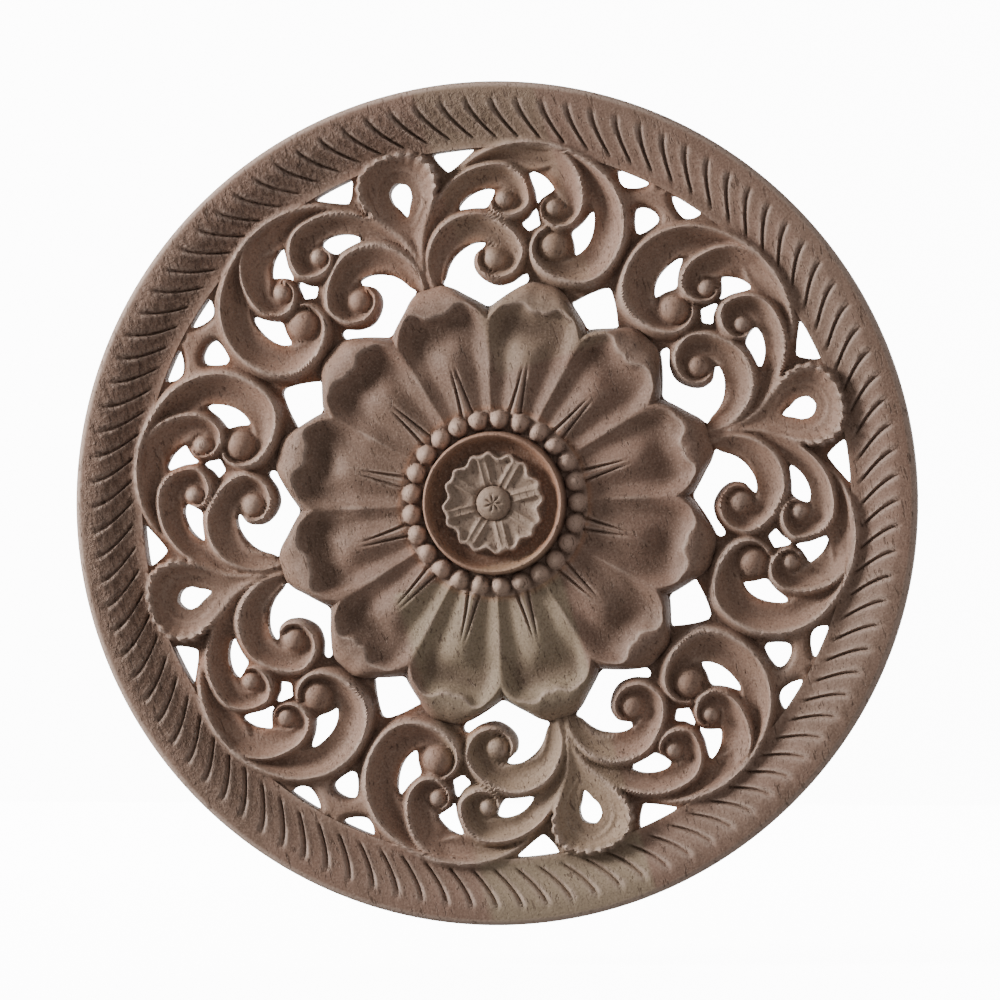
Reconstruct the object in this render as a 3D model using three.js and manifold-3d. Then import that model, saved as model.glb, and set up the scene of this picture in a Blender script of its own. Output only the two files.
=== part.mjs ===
// Pierced round wood applique: a rope-grooved rim, four mirrored scroll groups with a
// palmette each, and a twelve-petal flower with a beaded centre.
// Millimetres, +Z up. The disc stands upright: its flat back is the plane y = 0, the carving
// faces -Y, and the origin is the middle of the back.

import * as THREE from 'three';
import { mergeVertices } from 'three/addons/utils/BufferGeometryUtils.js';
import Module from 'manifold-3d';

const wasm = await Module();
wasm.setup();

// Outline and rim
const DISC_DIAMETER = 250;
const RIM_WIDTH = 19.5;
const RIM_HEIGHT = 12.6;
const RIM_INNER_HEIGHT = 9;
const RIM_EDGE_ROUND = 2.6;
const RIM_LAND = 3.6;

// Rope grooves of the rim
const GROOVE_COUNT = 100;
const GROOVE_DEPTH = 1.3;
const GROOVE_DEEPEST_SHARE = 0.4;
const GROOVE_SLANT_DEG = 5.2;
const GROOVE_BEND = 1.73;

// Pierced ground between the rim and the flower
const GROUND_HEIGHT = 6.2;

// Scroll groups
const GROUP_COUNT = 4;
const GROUP_TURN_DEG = 17.2;
const CREST_HEIGHT = 11.4;
const CREST_BEVEL = 2.2;
const EYE_HEIGHT = 10.6;
const EYE_SIDES = 6;
const SCROLL_STEP_GROWTH = 1.15;

// Palmettes and links
const PALMETTE_HEIGHT = 12.9;
const PALMETTE_FLUTE_HEIGHT = 9.8;
const PALMETTE_EDGE_HEIGHT = 8.4;
const PALMETTE_LIP = 2.4;
const PALMETTE_SIDES = 14;
const FLUTE_DEPTH = 0.9;
const COLLAR_HEIGHT = 9;
const COLLAR_WIDTH = 1.1;
const LINK_HEIGHT = 8.8;
const LINK_WIDTH = 3.4;

// Flower
const FLOWER_DIAMETER = 133;
const PETAL_COUNT = 12;
const PETAL_LIP_HEIGHT = 13.3;
const PETAL_FLOOR_HEIGHT = 10.3;
const PETAL_EDGE_HEIGHT = 8;
const PETAL_COLUMNS = 4;

// Beads and centre
const BEAD_COUNT = 25;
const BEAD_DIAMETER = 6;
const BEAD_HEIGHT = 14;
const BEAD_BED_HEIGHT = 9.7;
const BEAD_SIDES = 5;
const RING_DIAMETER = 40.8;
const RING_CREST = 1.2;
const RING_HEIGHT = 17;
const RING_SIDES = 32;
const WELL_HEIGHT = 12;
const ROSETTE_DIAMETER = 29;
const ROSETTE_HEIGHT = 15.2;
const ROSETTE_DISH_HEIGHT = 12.8;
const ROSETTE_LOBES = 8;
const ROSETTE_TURN_DEG = 15;
const LOBE_NOTCH = 0.1;
const DOME_DIAMETER = 10;
const DOME_HEIGHT = 16.3;

// Height and width shares of the shoulder of every eye and bead
const SHOULDER_SHARE = 0.72;

// How deep one form sits in the next, and how far a form keeps from a pierced edge
const BITE = 0.6;
const EDGE_GAP = 0.35;

const discRadius = DISC_DIAMETER / 2;
const rimInner = discRadius - RIM_WIDTH;
const flowerRadius = FLOWER_DIAMETER / 2;
const ringRadius = RING_DIAMETER / 2;
const footHeight = GROUND_HEIGHT - BITE;
const groupTurn = THREE.MathUtils.degToRad(GROUP_TURN_DEG);
const groupPitch = (2 * Math.PI) / GROUP_COUNT;

const wood = new THREE.MeshStandardMaterial({ color: 0x7d6455, roughness: 0.62, metalness: 0 });

const { degToRad, lerp, smoothstep, clamp } = THREE.MathUtils;

// A scroll group is drawn on a band from radius 210 to radius 355, in units of its own. In the
// drawing u runs along the rim and v runs outward on the palmette's axis.
const DRAWN_INNER = 210;
const DRAWN_OUTER = 355;
const FLOWER_SEAT_SHARE = 0.938;
const flowerSeat = flowerRadius * FLOWER_SEAT_SHARE;
const drawnScale = (rimInner - flowerSeat) / (DRAWN_OUTER - DRAWN_INNER);

function polar(radius, angle, height) {
  return new THREE.Vector3(radius * Math.cos(angle), radius * Math.sin(angle), height);
}

// Radius on the disc of a drawn radius, fitted between the flower's seat and the rim.
function discRadiusOf(drawnRadius) {
  return flowerSeat + (drawnRadius - DRAWN_INNER) * drawnScale;
}

// Puts a drawn point on the disc, on one side of a group's axis.
function onDisc(u, v, height, turn, side) {
  return polar(discRadiusOf(Math.hypot(u, v)), turn - side * Math.atan2(u, v), height);
}

// Smooth value of a list of [place, value] pairs at one place.
function along(pairs, place) {
  const last = pairs.length - 1;
  let i = 0;
  while (i < last - 1 && place > pairs[i + 1][0]) i += 1;
  const slope = (k) => (pairs[k + 1][1] - pairs[k][1]) / (pairs[k + 1][0] - pairs[k][0]);
  const step = pairs[i + 1][0] - pairs[i][0];
  const here = slope(i);
  const before = i > 0 ? (slope(i - 1) + here) / 2 : here;
  const after = i < last - 1 ? (here + slope(i + 1)) / 2 : here;
  const t = clamp((place - pairs[i][0]) / step, 0, 1);
  const t2 = t * t;
  const t3 = t2 * t;
  return pairs[i][1] * (2 * t3 - 3 * t2 + 1) + before * step * (t3 - 2 * t2 + t)
    + pairs[i + 1][1] * (3 * t2 - 2 * t3) + after * step * (t3 - t2);
}

// A solid from a geometry whose faces point out.
function solidFrom(geometry) {
  ['normal', 'uv'].forEach((name) => geometry.deleteAttribute(name));
  const merged = mergeVertices(geometry, 1e-4);
  return new wasm.Manifold(new wasm.Mesh({
    numProp: 3,
    vertProperties: new Float32Array(merged.attributes.position.array),
    triVerts: new Uint32Array(merged.index.array),
  }));
}

// Faces between two closed rings of points. Either ring may be a single point, or have twice as
// many points as the other.
function facesBetween(low, high) {
  if (low.length === 2 * high.length) {
    return facesBetween(high, low).map(([a, b, c]) => [a, c, b]);
  }
  const faces = [];
  const count = high.length === 2 * low.length ? low.length : Math.max(low.length, high.length);
  for (let j = 0; j < count; j += 1) {
    const k = (j + 1) % count;
    if (high.length === 2 * low.length) {
      faces.push([low[j], low[k], high[2 * j + 1]]);
      faces.push([low[j], high[2 * j + 1], high[2 * j]]);
      faces.push([low[k], high[2 * k], high[2 * j + 1]]);
    } else {
      if (low.length > 1) faces.push([low[j], low[k], high[high.length > 1 ? k : 0]]);
      if (high.length > 1) faces.push([low[low.length > 1 ? j : 0], high[k], high[j]]);
    }
  }
  return faces;
}

// A solid from rings of points, one after the other. With loop the last ring meets the first;
// otherwise the end rings are filled. The faces are turned to point out.
function solidFromRings(rings, loop = false) {
  const faces = [];
  rings.slice(1).forEach((ring, i) => faces.push(...facesBetween(rings[i], ring)));
  if (loop) {
    faces.push(...facesBetween(rings[rings.length - 1], rings[0]));
  } else {
    const [first, last] = [rings[0], rings[rings.length - 1]];
    for (let j = 1; j < first.length - 1; j += 1) faces.push([first[0], first[j + 1], first[j]]);
    for (let j = 1; j < last.length - 1; j += 1) faces.push([last[0], last[j], last[j + 1]]);
  }
  const cross = new THREE.Vector3();
  const volume = faces.reduce((sum, [a, b, c]) => sum + a.dot(cross.crossVectors(b, c)), 0);
  const outward = volume > 0 ? faces : faces.map(([a, b, c]) => [a, c, b]);
  return solidFrom(new THREE.BufferGeometry().setFromPoints(outward.flat()));
}

// The rim: an inward slope cut by V grooves, a flat land and a rounded outer edge. A groove turns
// fast at its inner end, then ever more slowly.
function rim() {
  const inner = rimInner + EDGE_GAP;
  const grooveEnd = discRadius - RIM_LAND;
  const rise = (radius) => lerp(RIM_INNER_HEIGHT, RIM_HEIGHT, smoothstep(radius, inner, grooveEnd));
  const ring = (radius, height, columns = GROOVE_COUNT, depth = 0) => {
    const share = clamp((radius - inner) / (grooveEnd - inner), 0, 1);
    const slant = degToRad(GROOVE_SLANT_DEG) * (1 - (1 - share) ** GROOVE_BEND);
    const start = groupTurn - Math.PI / GROOVE_COUNT;
    return Array.from({ length: columns }, (_, j) => {
      const angle = start + (j / columns) * 2 * Math.PI + slant;
      return polar(radius, angle, height - (j % 2 === 1 ? depth : 0));
    });
  };
  const grooved = (share) => {
    const radius = lerp(inner, grooveEnd, share);
    return ring(radius, rise(radius), GROOVE_COUNT * 2, GROOVE_DEPTH);
  };
  return solidFromRings([
    ring(inner, 0, GROOVE_COUNT / 2),
    ring(discRadius, 0),
    ring(discRadius, RIM_HEIGHT - RIM_EDGE_ROUND),
    ring(grooveEnd, RIM_HEIGHT),
    grooved(GROOVE_DEEPEST_SHARE),
    grooved(0),
    ring(inner, GROUND_HEIGHT),
    ring(inner, GROUND_HEIGHT - BITE, GROOVE_COUNT / 2),
  ], true);
}

// Pierced openings of half a group, drawn as [u, v].
const OPENINGS = [
  // crescent round the inner scroll
  [[14, 225.5], [24, 240], [41, 252.5], [66, 252], [52, 240], [51, 224], [60, 211], [76, 206],
    [97, 211], [95, 201], [54, 190], [24, 215.5]],
  // between the inner and the upper scroll
  [[50, 291.5], [62, 301], [76, 304], [91, 300], [79, 285], [66, 288]],
  // beside the palmette, under the rim
  [[42, 353], [44, 341], [51.5, 330], [85, 344], [66, 350.5]],
  // between the upper scroll and the branch
  [[130.5, 307], [141, 299], [148.5, 282], [138, 278.5], [128.5, 273.5]],
  // small opening between three eyes
  [[106.5, 260], [124, 270.5], [125, 253], [112, 250]],
  // inside the outer scroll
  [[150.5, 235], [149, 213], [160, 215], [172, 227], [180, 248], [166, 243]],
];

// Openings on the line between two groups, drawn as [degrees from that line, radius].
const LINK_OPENING = [[7.5, 353.5], [2.3, 353.5], [3.4, 343.5], [5.4, 340], [7, 345]];
const LINK_MIDDLE_OPENING = [[0, 331], [2.5, 324.5], [0, 304], [-2.5, 324.5]];
const KITE_OPENING = [[0, 242.5], [7.2, 215], [5, 206], [0, 197], [-5, 206], [-7.2, 215]];

// The palmette's outline and drop-shaped hole, drawn about the hole's middle on the axis as
// [degrees from the outward direction, radius].
const PALMETTE_MIDDLE = 318;
const PALMETTE_OUTLINE = [[0, 47], [28, 48.5], [47, 49.5], [60, 47.5], [74, 44.5], [84, 42], [102, 36.5],
  [130, 33], [156, 39], [168, 48], [175, 62], [180, 80]];
const PALMETTE_HOLE = [[0, 16.5], [45, 14], [80, 11], [100, 10.3], [130, 9.8], [155, 12], [180, 19]];
const PALMETTE_HOLE_SIDES = 8;

function aboutPalmette(radiusAt, sides, turn, heightAt) {
  return Array.from({ length: sides }, (_, j) => {
    const degrees = (j / sides) * 360;
    const folded = Math.min(degrees, 360 - degrees);
    const radius = radiusAt(folded);
    const u = radius * Math.sin(degToRad(degrees));
    const v = PALMETTE_MIDDLE + radius * Math.cos(degToRad(degrees));
    return onDisc(u, v, heightAt(folded, j), turn, 1);
  });
}

// The ground: a plate from under the flower to under the rim, with every opening cut square.
function ground() {
  const plate = new THREE.Shape();
  plate.absarc(0, 0, rimInner + RIM_LAND, 0, 2 * Math.PI);
  const pierce = (points) => {
    plate.holes.push(new THREE.Path(points.map(({ x, y }) => new THREE.Vector2(x, y))));
  };
  const onLine = (pairs, line) => pairs.map(([degrees, radius]) => (
    polar(discRadiusOf(radius), line + degToRad(degrees), 0)));
  for (let k = 0; k < GROUP_COUNT; k += 1) {
    const turn = groupTurn + k * groupPitch;
    const line = turn + groupPitch / 2;
    pierce(aboutPalmette((folded) => along(PALMETTE_HOLE, folded), PALMETTE_HOLE_SIDES, turn, () => 0));
    pierce(onLine(LINK_MIDDLE_OPENING, line));
    pierce(onLine(KITE_OPENING, line));
    [-1, 1].forEach((side) => {
      OPENINGS.forEach((opening) => pierce(opening.map(([u, v]) => onDisc(u, v, 0, turn, side))));
      pierce(onLine(LINK_OPENING.map(([degrees, radius]) => [side * degrees, radius]), line));
    });
  }
  const geometry = new THREE.ExtrudeGeometry(plate, {
    depth: GROUND_HEIGHT,
    bevelEnabled: false,
    curveSegments: PETAL_COUNT,
  });
  return solidFrom(geometry);
}

// Each scroll is drawn about its eye. A turn of 0 degrees points back to the palmette's axis and
// grows over the rim side; outer and inner give the strand's two edges as [turn, radius].
const SCROLLS = [
  {
    eye: [70.5, 233],
    steps: 8,
    eyeRadius: 13.5,
    rise: 0.92,
    outer: [[-8, 71], [5, 72], [26, 70], [50, 66], [69, 60], [89, 53.5], [118, 43.5], [157, 38],
      [177, 37], [200, 33.5], [226, 30.8], [258, 27], [298, 22.6], [322, 21], [368, 21], [400, 19.5]],
    inner: [[-8, 56], [5, 50], [26, 43], [50, 27.5], [69, 22.5], [89, 18.5], [118, 14], [200, 12],
      [322, 10], [400, 9]],
  },
  {
    eye: [97, 287],
    steps: 7,
    eyeRadius: 10.8,
    rise: 0.9,
    outer: [[-13, 96], [2, 81], [13, 73], [25, 65], [46, 54], [62, 48], [80, 43], [98, 40.5],
      [118, 38.5], [140, 35.5], [182, 31.5], [206, 31.5], [231, 28], [263, 24], [306, 18.6], [342, 16]],
    inner: [[-13, 84], [-7, 74], [-2, 64], [6, 48], [19, 39], [31, 31], [45, 24], [57, 17], [75, 14],
      [110, 13], [180, 11], [263, 8], [342, 6]],
  },
  {
    eye: [142, 264],
    steps: 6,
    eyeRadius: 10.8,
    rise: 0.88,
    outer: [[67, 77], [88, 69], [100, 67], [113, 62.5], [134, 52.5], [158, 42], [186, 35.5],
      [223, 30.5], [250, 27.5], [288, 22], [332, 16], [370, 14.5]],
    inner: [[67, 52], [75, 44], [87, 38], [98, 29], [110, 20], [125, 15], [180, 13], [250, 10],
      [332, 8], [370, 7]],
  },
  {
    eye: [131, 228],
    steps: 11,
    eyeRadius: 17,
    rise: 1,
    outer: [[38, 128], [46, 128], [61, 127], [77, 121.5], [99, 111.5], [125, 100], [150, 93], [171, 86],
      [192, 78], [215, 69], [243, 59], [270, 46], [304, 36], [347, 29], [394, 24], [425, 22]],
    inner: [[38, 106], [61, 102], [75, 92], [90, 79], [113, 80], [124, 75], [136, 64], [146, 57],
      [158, 53], [168, 47], [181, 40], [197, 33.5], [222, 25.5], [245, 19], [300, 15], [425, 10]],
  },
];
const ROOT_SHARE = 0.12;
const ROOT_RISE = 0.75;
const TAIL_SHARE = 0.8;
const TAIL_RISE = 0.85;
const COVE_FOOT = 0.72;
const EYE_CLEARANCE = 1.5;
const BEVEL_SHARE_MAX = 0.33;

// How high a strand's crest stands, as a share of its full height, at a share of its length.
function crestShare(share) {
  const root = lerp(ROOT_RISE, 1, smoothstep(share, 0, ROOT_SHARE));
  return root * lerp(1, TAIL_RISE, smoothstep(share, TAIL_SHARE, 1));
}

// One strand: a bevel up to a sharp crest and a hollow cove behind it, carried round the eye
// between the outer and the inner edge.
function strand(scroll, turn, side) {
  const first = scroll.outer[0][0];
  const last = scroll.outer[scroll.outer.length - 1][0];
  const bevel = CREST_BEVEL / drawnScale;
  const gap = EDGE_GAP / drawnScale;
  return solidFromRings(Array.from({ length: scroll.steps + 1 }, (_, i) => {
    const share = i / scroll.steps;
    const degrees = lerp(first, last, share ** SCROLL_STEP_GROWTH);
    const outer = along(scroll.outer, degrees) - gap;
    const inner = along(scroll.inner, degrees) + gap;
    const crestAt = outer - Math.min(bevel, (outer - inner) * BEVEL_SHARE_MAX);
    const crest = CREST_HEIGHT * scroll.rise * crestShare(share);
    const besideEye = Math.min(scroll.eyeRadius + EYE_CLEARANCE, crestAt - gap);
    const foot = Math.max(lerp(crestAt, inner, COVE_FOOT), besideEye);
    const at = (radius, height) => onDisc(
      scroll.eye[0] - radius * Math.cos(degToRad(degrees)),
      scroll.eye[1] + radius * Math.sin(degToRad(degrees)),
      height,
      turn,
      side,
    );
    return [
      at(outer, footHeight),
      at(outer, GROUND_HEIGHT),
      at(crestAt, crest),
      at(foot, GROUND_HEIGHT),
      at(foot, footHeight),
    ];
  }));
}

// A button that domes up round a middle from the floor it is set in to its top.
function button(circle, top, floor) {
  return solidFromRings([
    circle(1, floor - BITE),
    circle(1, floor),
    circle(SHOULDER_SHARE, lerp(floor, top, SHOULDER_SHARE)),
    circle(0, top),
  ]);
}

// The eye of a scroll.
function eye(scroll, turn, side) {
  const circle = (share, height) => Array.from({ length: share > 0 ? EYE_SIDES : 1 }, (_, j) => {
    const angle = (j / EYE_SIDES) * 2 * Math.PI;
    const u = scroll.eye[0] - scroll.eyeRadius * share * Math.cos(angle);
    const v = scroll.eye[1] + scroll.eyeRadius * share * Math.sin(angle);
    return onDisc(u, v, height, turn, side);
  });
  return button(circle, EYE_HEIGHT * scroll.rise, GROUND_HEIGHT);
}

// The palmette: a fluted cup with a raised lip and a collar round its hole.
function palmette(turn) {
  const gap = EDGE_GAP / drawnScale;
  const lip = PALMETTE_LIP / drawnScale;
  const collar = COLLAR_WIDTH / drawnScale;
  const outline = (folded) => along(PALMETTE_OUTLINE, folded) - gap;
  const hole = (folded) => along(PALMETTE_HOLE, folded) + gap;
  const upper = (folded) => (1 + Math.cos(degToRad(folded))) / 2;
  const ring = (radiusAt, heightAt) => aboutPalmette(radiusAt, PALMETTE_SIDES, turn, heightAt);
  const lipHeight = (folded) => lerp(COLLAR_HEIGHT, PALMETTE_HEIGHT, upper(folded));
  const fluteHeight = (folded) => lerp(GROUND_HEIGHT, PALMETTE_FLUTE_HEIGHT, upper(folded));
  const collarAt = (folded) => hole(folded) + collar;
  const lipAt = (folded) => outline(folded) - lip;
  return solidFromRings([
    ring(hole, () => footHeight),
    ring(outline, () => footHeight),
    ring(outline, () => GROUND_HEIGHT),
    ring(outline, () => PALMETTE_EDGE_HEIGHT),
    ring(lipAt, lipHeight),
    ring(
      (folded) => (collarAt(folded) + lipAt(folded)) / 2,
      (folded, j) => fluteHeight(folded) + (j % 2) * FLUTE_DEPTH,
    ),
    ring(collarAt, () => COLLAR_HEIGHT),
    ring(hole, () => GROUND_HEIGHT),
  ], true);
}

// Half a link: a ridged bar from one scroll's back to the rim, by the line between two groups.
const LINK_FOOT_RADIUS = 331;
const LINK_FOOT_DEG = 6.5;

function linkArm(line, side) {
  const footRadius = discRadiusOf(LINK_FOOT_RADIUS);
  const foot = polar(footRadius, line + side * degToRad(LINK_FOOT_DEG), GROUND_HEIGHT);
  const head = polar(rimInner + BITE + EDGE_GAP, line, GROUND_HEIGHT);
  const across = head.clone().sub(foot).setLength(LINK_WIDTH / 2);
  across.set(-across.y, across.x, 0);
  return solidFromRings([foot, head].map((end) => [
    end.clone().sub(across).setZ(footHeight),
    end.clone().sub(across),
    end.clone().setZ(LINK_HEIGHT),
    end.clone().add(across),
    end.clone().add(across).setZ(footHeight),
  ]));
}

// The flower: twelve cupped petals whose tips fold up to a lip. The outline is drawn over half a
// petal as [share of the half pitch, share of the flower's radius]; a row's share runs from the
// beads to the outline, and its middle and edge heights run from the petal's floor to its lip.
const PETAL_OUTLINE = [[0, 1], [0.24, 0.997], [0.39, 0.978], [0.54, 0.947], [0.75, 0.91], [1, 0.866]];
const PETAL_ROWS = [
  { share: 0.85, middle: 1, edge: 0.7 },
  { share: 0.69, middle: 0.1, edge: 0.35 },
  { share: 0.35, middle: 0.3, edge: 0.15 },
];
const PETAL_HOLLOW = 0.22;

function flower() {
  const columns = PETAL_COUNT * PETAL_COLUMNS;
  const root = ringRadius + RING_CREST + BEAD_DIAMETER;
  const ring = (radiusAt, heightAt) => Array.from({ length: columns }, (_, j) => {
    const place = ((j % PETAL_COLUMNS) / PETAL_COLUMNS) * 2;
    const half = Math.min(place, 2 - place);
    return polar(radiusAt(half), groupTurn + (j / columns) * 2 * Math.PI, heightAt(half));
  });
  const outline = (half) => flowerRadius * along(PETAL_OUTLINE, half) - EDGE_GAP;
  const lift = PETAL_LIP_HEIGHT - PETAL_FLOOR_HEIGHT;
  const liftShare = ({ middle, edge }, half) => (
    lerp(middle, edge, half) - PETAL_HOLLOW * Math.sin(Math.PI * half));
  return solidFromRings([
    [polar(0, 0, footHeight)],
    ring(outline, () => footHeight),
    ring(outline, () => GROUND_HEIGHT),
    ring(outline, () => PETAL_EDGE_HEIGHT),
    ...PETAL_ROWS.map((row) => ring(
      (half) => lerp(root, outline(half), row.share),
      (half) => PETAL_FLOOR_HEIGHT + lift * liftShare(row, half),
    )),
    ring(() => root, () => BEAD_BED_HEIGHT),
    [polar(0, 0, BEAD_BED_HEIGHT)],
  ]);
}

// The row of beads round the ring.
function beads() {
  const circleRadius = ringRadius + RING_CREST + BEAD_DIAMETER / 2;
  return Array.from({ length: BEAD_COUNT }, (_, j) => {
    const middle = polar(circleRadius, (j / BEAD_COUNT) * 2 * Math.PI, 0);
    const circle = (share, height) => Array.from({ length: share > 0 ? BEAD_SIDES : 1 }, (__, i) => {
      const angle = (i / BEAD_SIDES + j / BEAD_COUNT) * 2 * Math.PI;
      return polar((BEAD_DIAMETER / 2) * share, angle, height).add(middle);
    });
    return button(circle, BEAD_HEIGHT, BEAD_BED_HEIGHT);
  });
}

// The thin ring round the well.
function centreRing() {
  const half = RING_CREST / 2;
  const outer = ringRadius + RING_CREST - EDGE_GAP;
  const profile = [
    [ringRadius - 2 * RING_CREST, BEAD_BED_HEIGHT - BITE],
    [outer, BEAD_BED_HEIGHT - BITE],
    [outer, BEAD_BED_HEIGHT],
    [ringRadius + half, RING_HEIGHT],
    [ringRadius - half, RING_HEIGHT],
    [ringRadius - 2 * RING_CREST, WELL_HEIGHT],
    [ringRadius - 2 * RING_CREST, BEAD_BED_HEIGHT - BITE],
  ].map(([x, y]) => new THREE.Vector2(x, y));
  const geometry = new THREE.LatheGeometry(profile, RING_SIDES);
  geometry.rotateX(Math.PI / 2);
  return solidFrom(geometry);
}

// The well's floor and the little lobed rosette in it, with a dome in its dish.
function rosette() {
  const columns = ROSETTE_LOBES * 2;
  const radius = ROSETTE_DIAMETER / 2;
  const dome = DOME_DIAMETER / 2;
  const start = degToRad(ROSETTE_TURN_DEG);
  const ring = (at, height, notch = 0) => Array.from({ length: columns }, (_, j) => (
    polar(at * (1 - (j % 2) * notch), start + (j / columns) * 2 * Math.PI, height)));
  return solidFromRings([
    [polar(0, 0, BEAD_BED_HEIGHT - BITE)],
    ring(ringRadius - RING_CREST, BEAD_BED_HEIGHT - BITE),
    ring(ringRadius - RING_CREST, WELL_HEIGHT),
    ring(radius + BITE, WELL_HEIGHT, LOBE_NOTCH),
    ring(radius, ROSETTE_HEIGHT, LOBE_NOTCH),
    ring(dome, ROSETTE_DISH_HEIGHT),
    ring(dome * SHOULDER_SHARE, lerp(ROSETTE_DISH_HEIGHT, DOME_HEIGHT, SHOULDER_SHARE)),
    [polar(0, 0, DOME_HEIGHT)],
  ]);
}

const pieces = [ground(), rim(), flower(), centreRing(), rosette(), ...beads()];
for (let k = 0; k < GROUP_COUNT; k += 1) {
  const turn = groupTurn + k * groupPitch;
  pieces.push(palmette(turn));
  [-1, 1].forEach((side) => {
    pieces.push(linkArm(turn + groupPitch / 2, side));
    SCROLLS.forEach((scroll) => pieces.push(strand(scroll, turn, side), eye(scroll, turn, side)));
  });
}
const carved = pieces.reduce((sum, next) => sum.add(next)).getMesh();

const body = new THREE.BufferGeometry();
body.setAttribute('position', new THREE.Float32BufferAttribute(carved.vertProperties, carved.numProp));
body.setIndex(new THREE.Uint32BufferAttribute(carved.triVerts, 1));
body.rotateX(Math.PI / 2);
body.computeVertexNormals();

const applique = new THREE.Mesh(body, wood);
applique.name = 'carved_applique';

const group = new THREE.Group();
group.name = 'applique';
group.add(applique);

export default group;
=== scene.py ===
"""Carved and pierced round wood applique, as one fine surface with a bare wood finish.

The disc stands upright in the part's own frame, in metres: its flat back is on y = 0, the carving
faces -Y and +Z is up. The carving itself is worked out in plan, with plan x and y along the
frame's X and Z and heights in millimetres above the back. Plan lengths are in drawing units, of
which the disc's radius has DRAWN_RADIUS. The pattern repeats in four quarters, each mirrored
about its palmette, so it is described once, for half a quarter: u runs along the rim from the
palmette's axis and v runs outward on it.
"""

import math
from types import SimpleNamespace

import bpy
import numpy as np
from bpy.props import FloatProperty, FloatVectorProperty, PointerProperty
from bpy.types import Operator, Panel, PropertyGroup
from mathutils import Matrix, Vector
from mathutils.geometry import delaunay_2d_cdt


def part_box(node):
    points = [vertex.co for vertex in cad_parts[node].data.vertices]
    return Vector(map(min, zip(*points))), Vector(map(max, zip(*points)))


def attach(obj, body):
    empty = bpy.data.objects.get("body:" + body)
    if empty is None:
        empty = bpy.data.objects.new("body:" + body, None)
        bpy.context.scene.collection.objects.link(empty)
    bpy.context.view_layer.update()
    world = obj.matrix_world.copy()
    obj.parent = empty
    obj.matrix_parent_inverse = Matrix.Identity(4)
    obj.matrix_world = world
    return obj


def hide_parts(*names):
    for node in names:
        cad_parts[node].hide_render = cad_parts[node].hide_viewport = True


bl_info = {
    "name": "Carved wood applique",
    "version": (1, 0, 0),
    "blender": (4, 5, 0),
    "location": "View3D > Sidebar > Applique",
    "description": "Builds a pierced round applique with scrolls, palmettes and a flower",
    "category": "Add Mesh",
}

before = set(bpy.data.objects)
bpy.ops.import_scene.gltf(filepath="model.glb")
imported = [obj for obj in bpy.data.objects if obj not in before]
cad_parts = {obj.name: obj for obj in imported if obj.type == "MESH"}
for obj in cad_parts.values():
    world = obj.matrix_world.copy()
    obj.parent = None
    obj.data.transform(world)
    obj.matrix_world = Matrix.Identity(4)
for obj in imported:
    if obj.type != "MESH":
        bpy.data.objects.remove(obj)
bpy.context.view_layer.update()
NODE = "carved_applique"
NODE_LOW, NODE_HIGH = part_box(NODE)
MM = 0.001

DRAWN_RADIUS = 420.8
GROUP_TURN = 17.2
QUARTER = 90.0

# Radii and lengths of the drawing
RIM_INNER = 355.0
GROOVE_START = 361.0
GROOVE_END = 408.0
FLOWER_ROOT = 95.0
FLOWER_RADIUS = 223.9
VEIN_LENGTH = 52.0
BEAD_CIRCLE = 82.9
BEAD_RADIUS = 10.3
RING_RADIUS = 68.0
WELL_RADIUS = 59.0
DOME_RADIUS = 16.8
DOME_FOOT = 17.6
ROSETTE_START = 19.0
SKIRT_END = 58.0
BACK_BEVEL = 1.2

# Radii over which the ground climbs to the rim and the rim to its flat land, and up to which the
# scrolls' backs lie over the rim and their crests are followed there
GROUND_CLIMB = (336, 354)
RIM_CLIMB = (362, 406)
BACKS_END = 374
CRESTS_END = 372

# Width of the rim's rounded outer edge
RIM_ROUND = 6.0

# Mean radius of the petals' lips, and width of the bowl's wall inside them
LIP_RADIUS = 195.0
BOWL_WIDTH = 24.0

# Width of the palmette's collar, and how far up its blade the lip stands
COLLAR_WIDTH = 8.5
LIP_SHARE = 0.9

# Radii and half width of the part of the drawing that holds a link, half the width of a link's rib,
# and the pit's radius, width and depth in millimetres
LINK_PLACE = (318, 366)
LINK_HALF = 32
RIB_HALF = 7.0
PIT_RADIUS, PIT_WIDTH, PIT_DEPTH = 357.0, 3.4, 2.6

# Fall of every form's foot outside its outline, in millimetres per drawing unit
SKIRT_SLOPE = 0.7

# Reach of the softening over the pierced band, and the weights of a point and of the four about it
SOFT_REACH = 1.1
OWN_WEIGHT, SIDE_WEIGHT = 0.28, 0.18

# How far a surface point may be moved onto a crest or onto an opening's outline
CREST_SNAP = 1.22
HOLE_SNAP = 0.75

# What stands for a crest too far to matter, for a point far from every opening, and how near a
# point has to be for a form's foot to count
NO_CREST = 99.0
FAR_FROM_HOLES = -20.0
FOOT_REACH = 12.0

# In millimetres, the drop from the rim's inner edge to the highest ground, the least height of a
# scroll's back over the rim, and the height at which the outer wall's bevel starts
RIM_STEP = 1.0
BACK_HEIGHT = 9.6
BEVEL_HEIGHT = 0.45

# Angle in degrees above which an edge is shown sharp
SHARP_ANGLE = 80.0

# Turns in degrees and counts of what repeats
GROOVE_COUNT = 100
GROOVE_TURN = 5.2
PETAL_PITCH = 30.0
BEAD_COUNT = 25
BEAD_TURN = 0.6
LOBE_PITCH = 45.0
LOBE_TURN = 15.0

# Sides of the surface's rings
RIM_SIDES = 800
FLOWER_SIDES = 480
BEAD_SIDES = 400
CENTRE_SIDES = 288
DOME_SIDES = 96

# Zones of the surface, each with its own function for the height
CENTRE, FLOWER, BAND, RIM = range(4)

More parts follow.
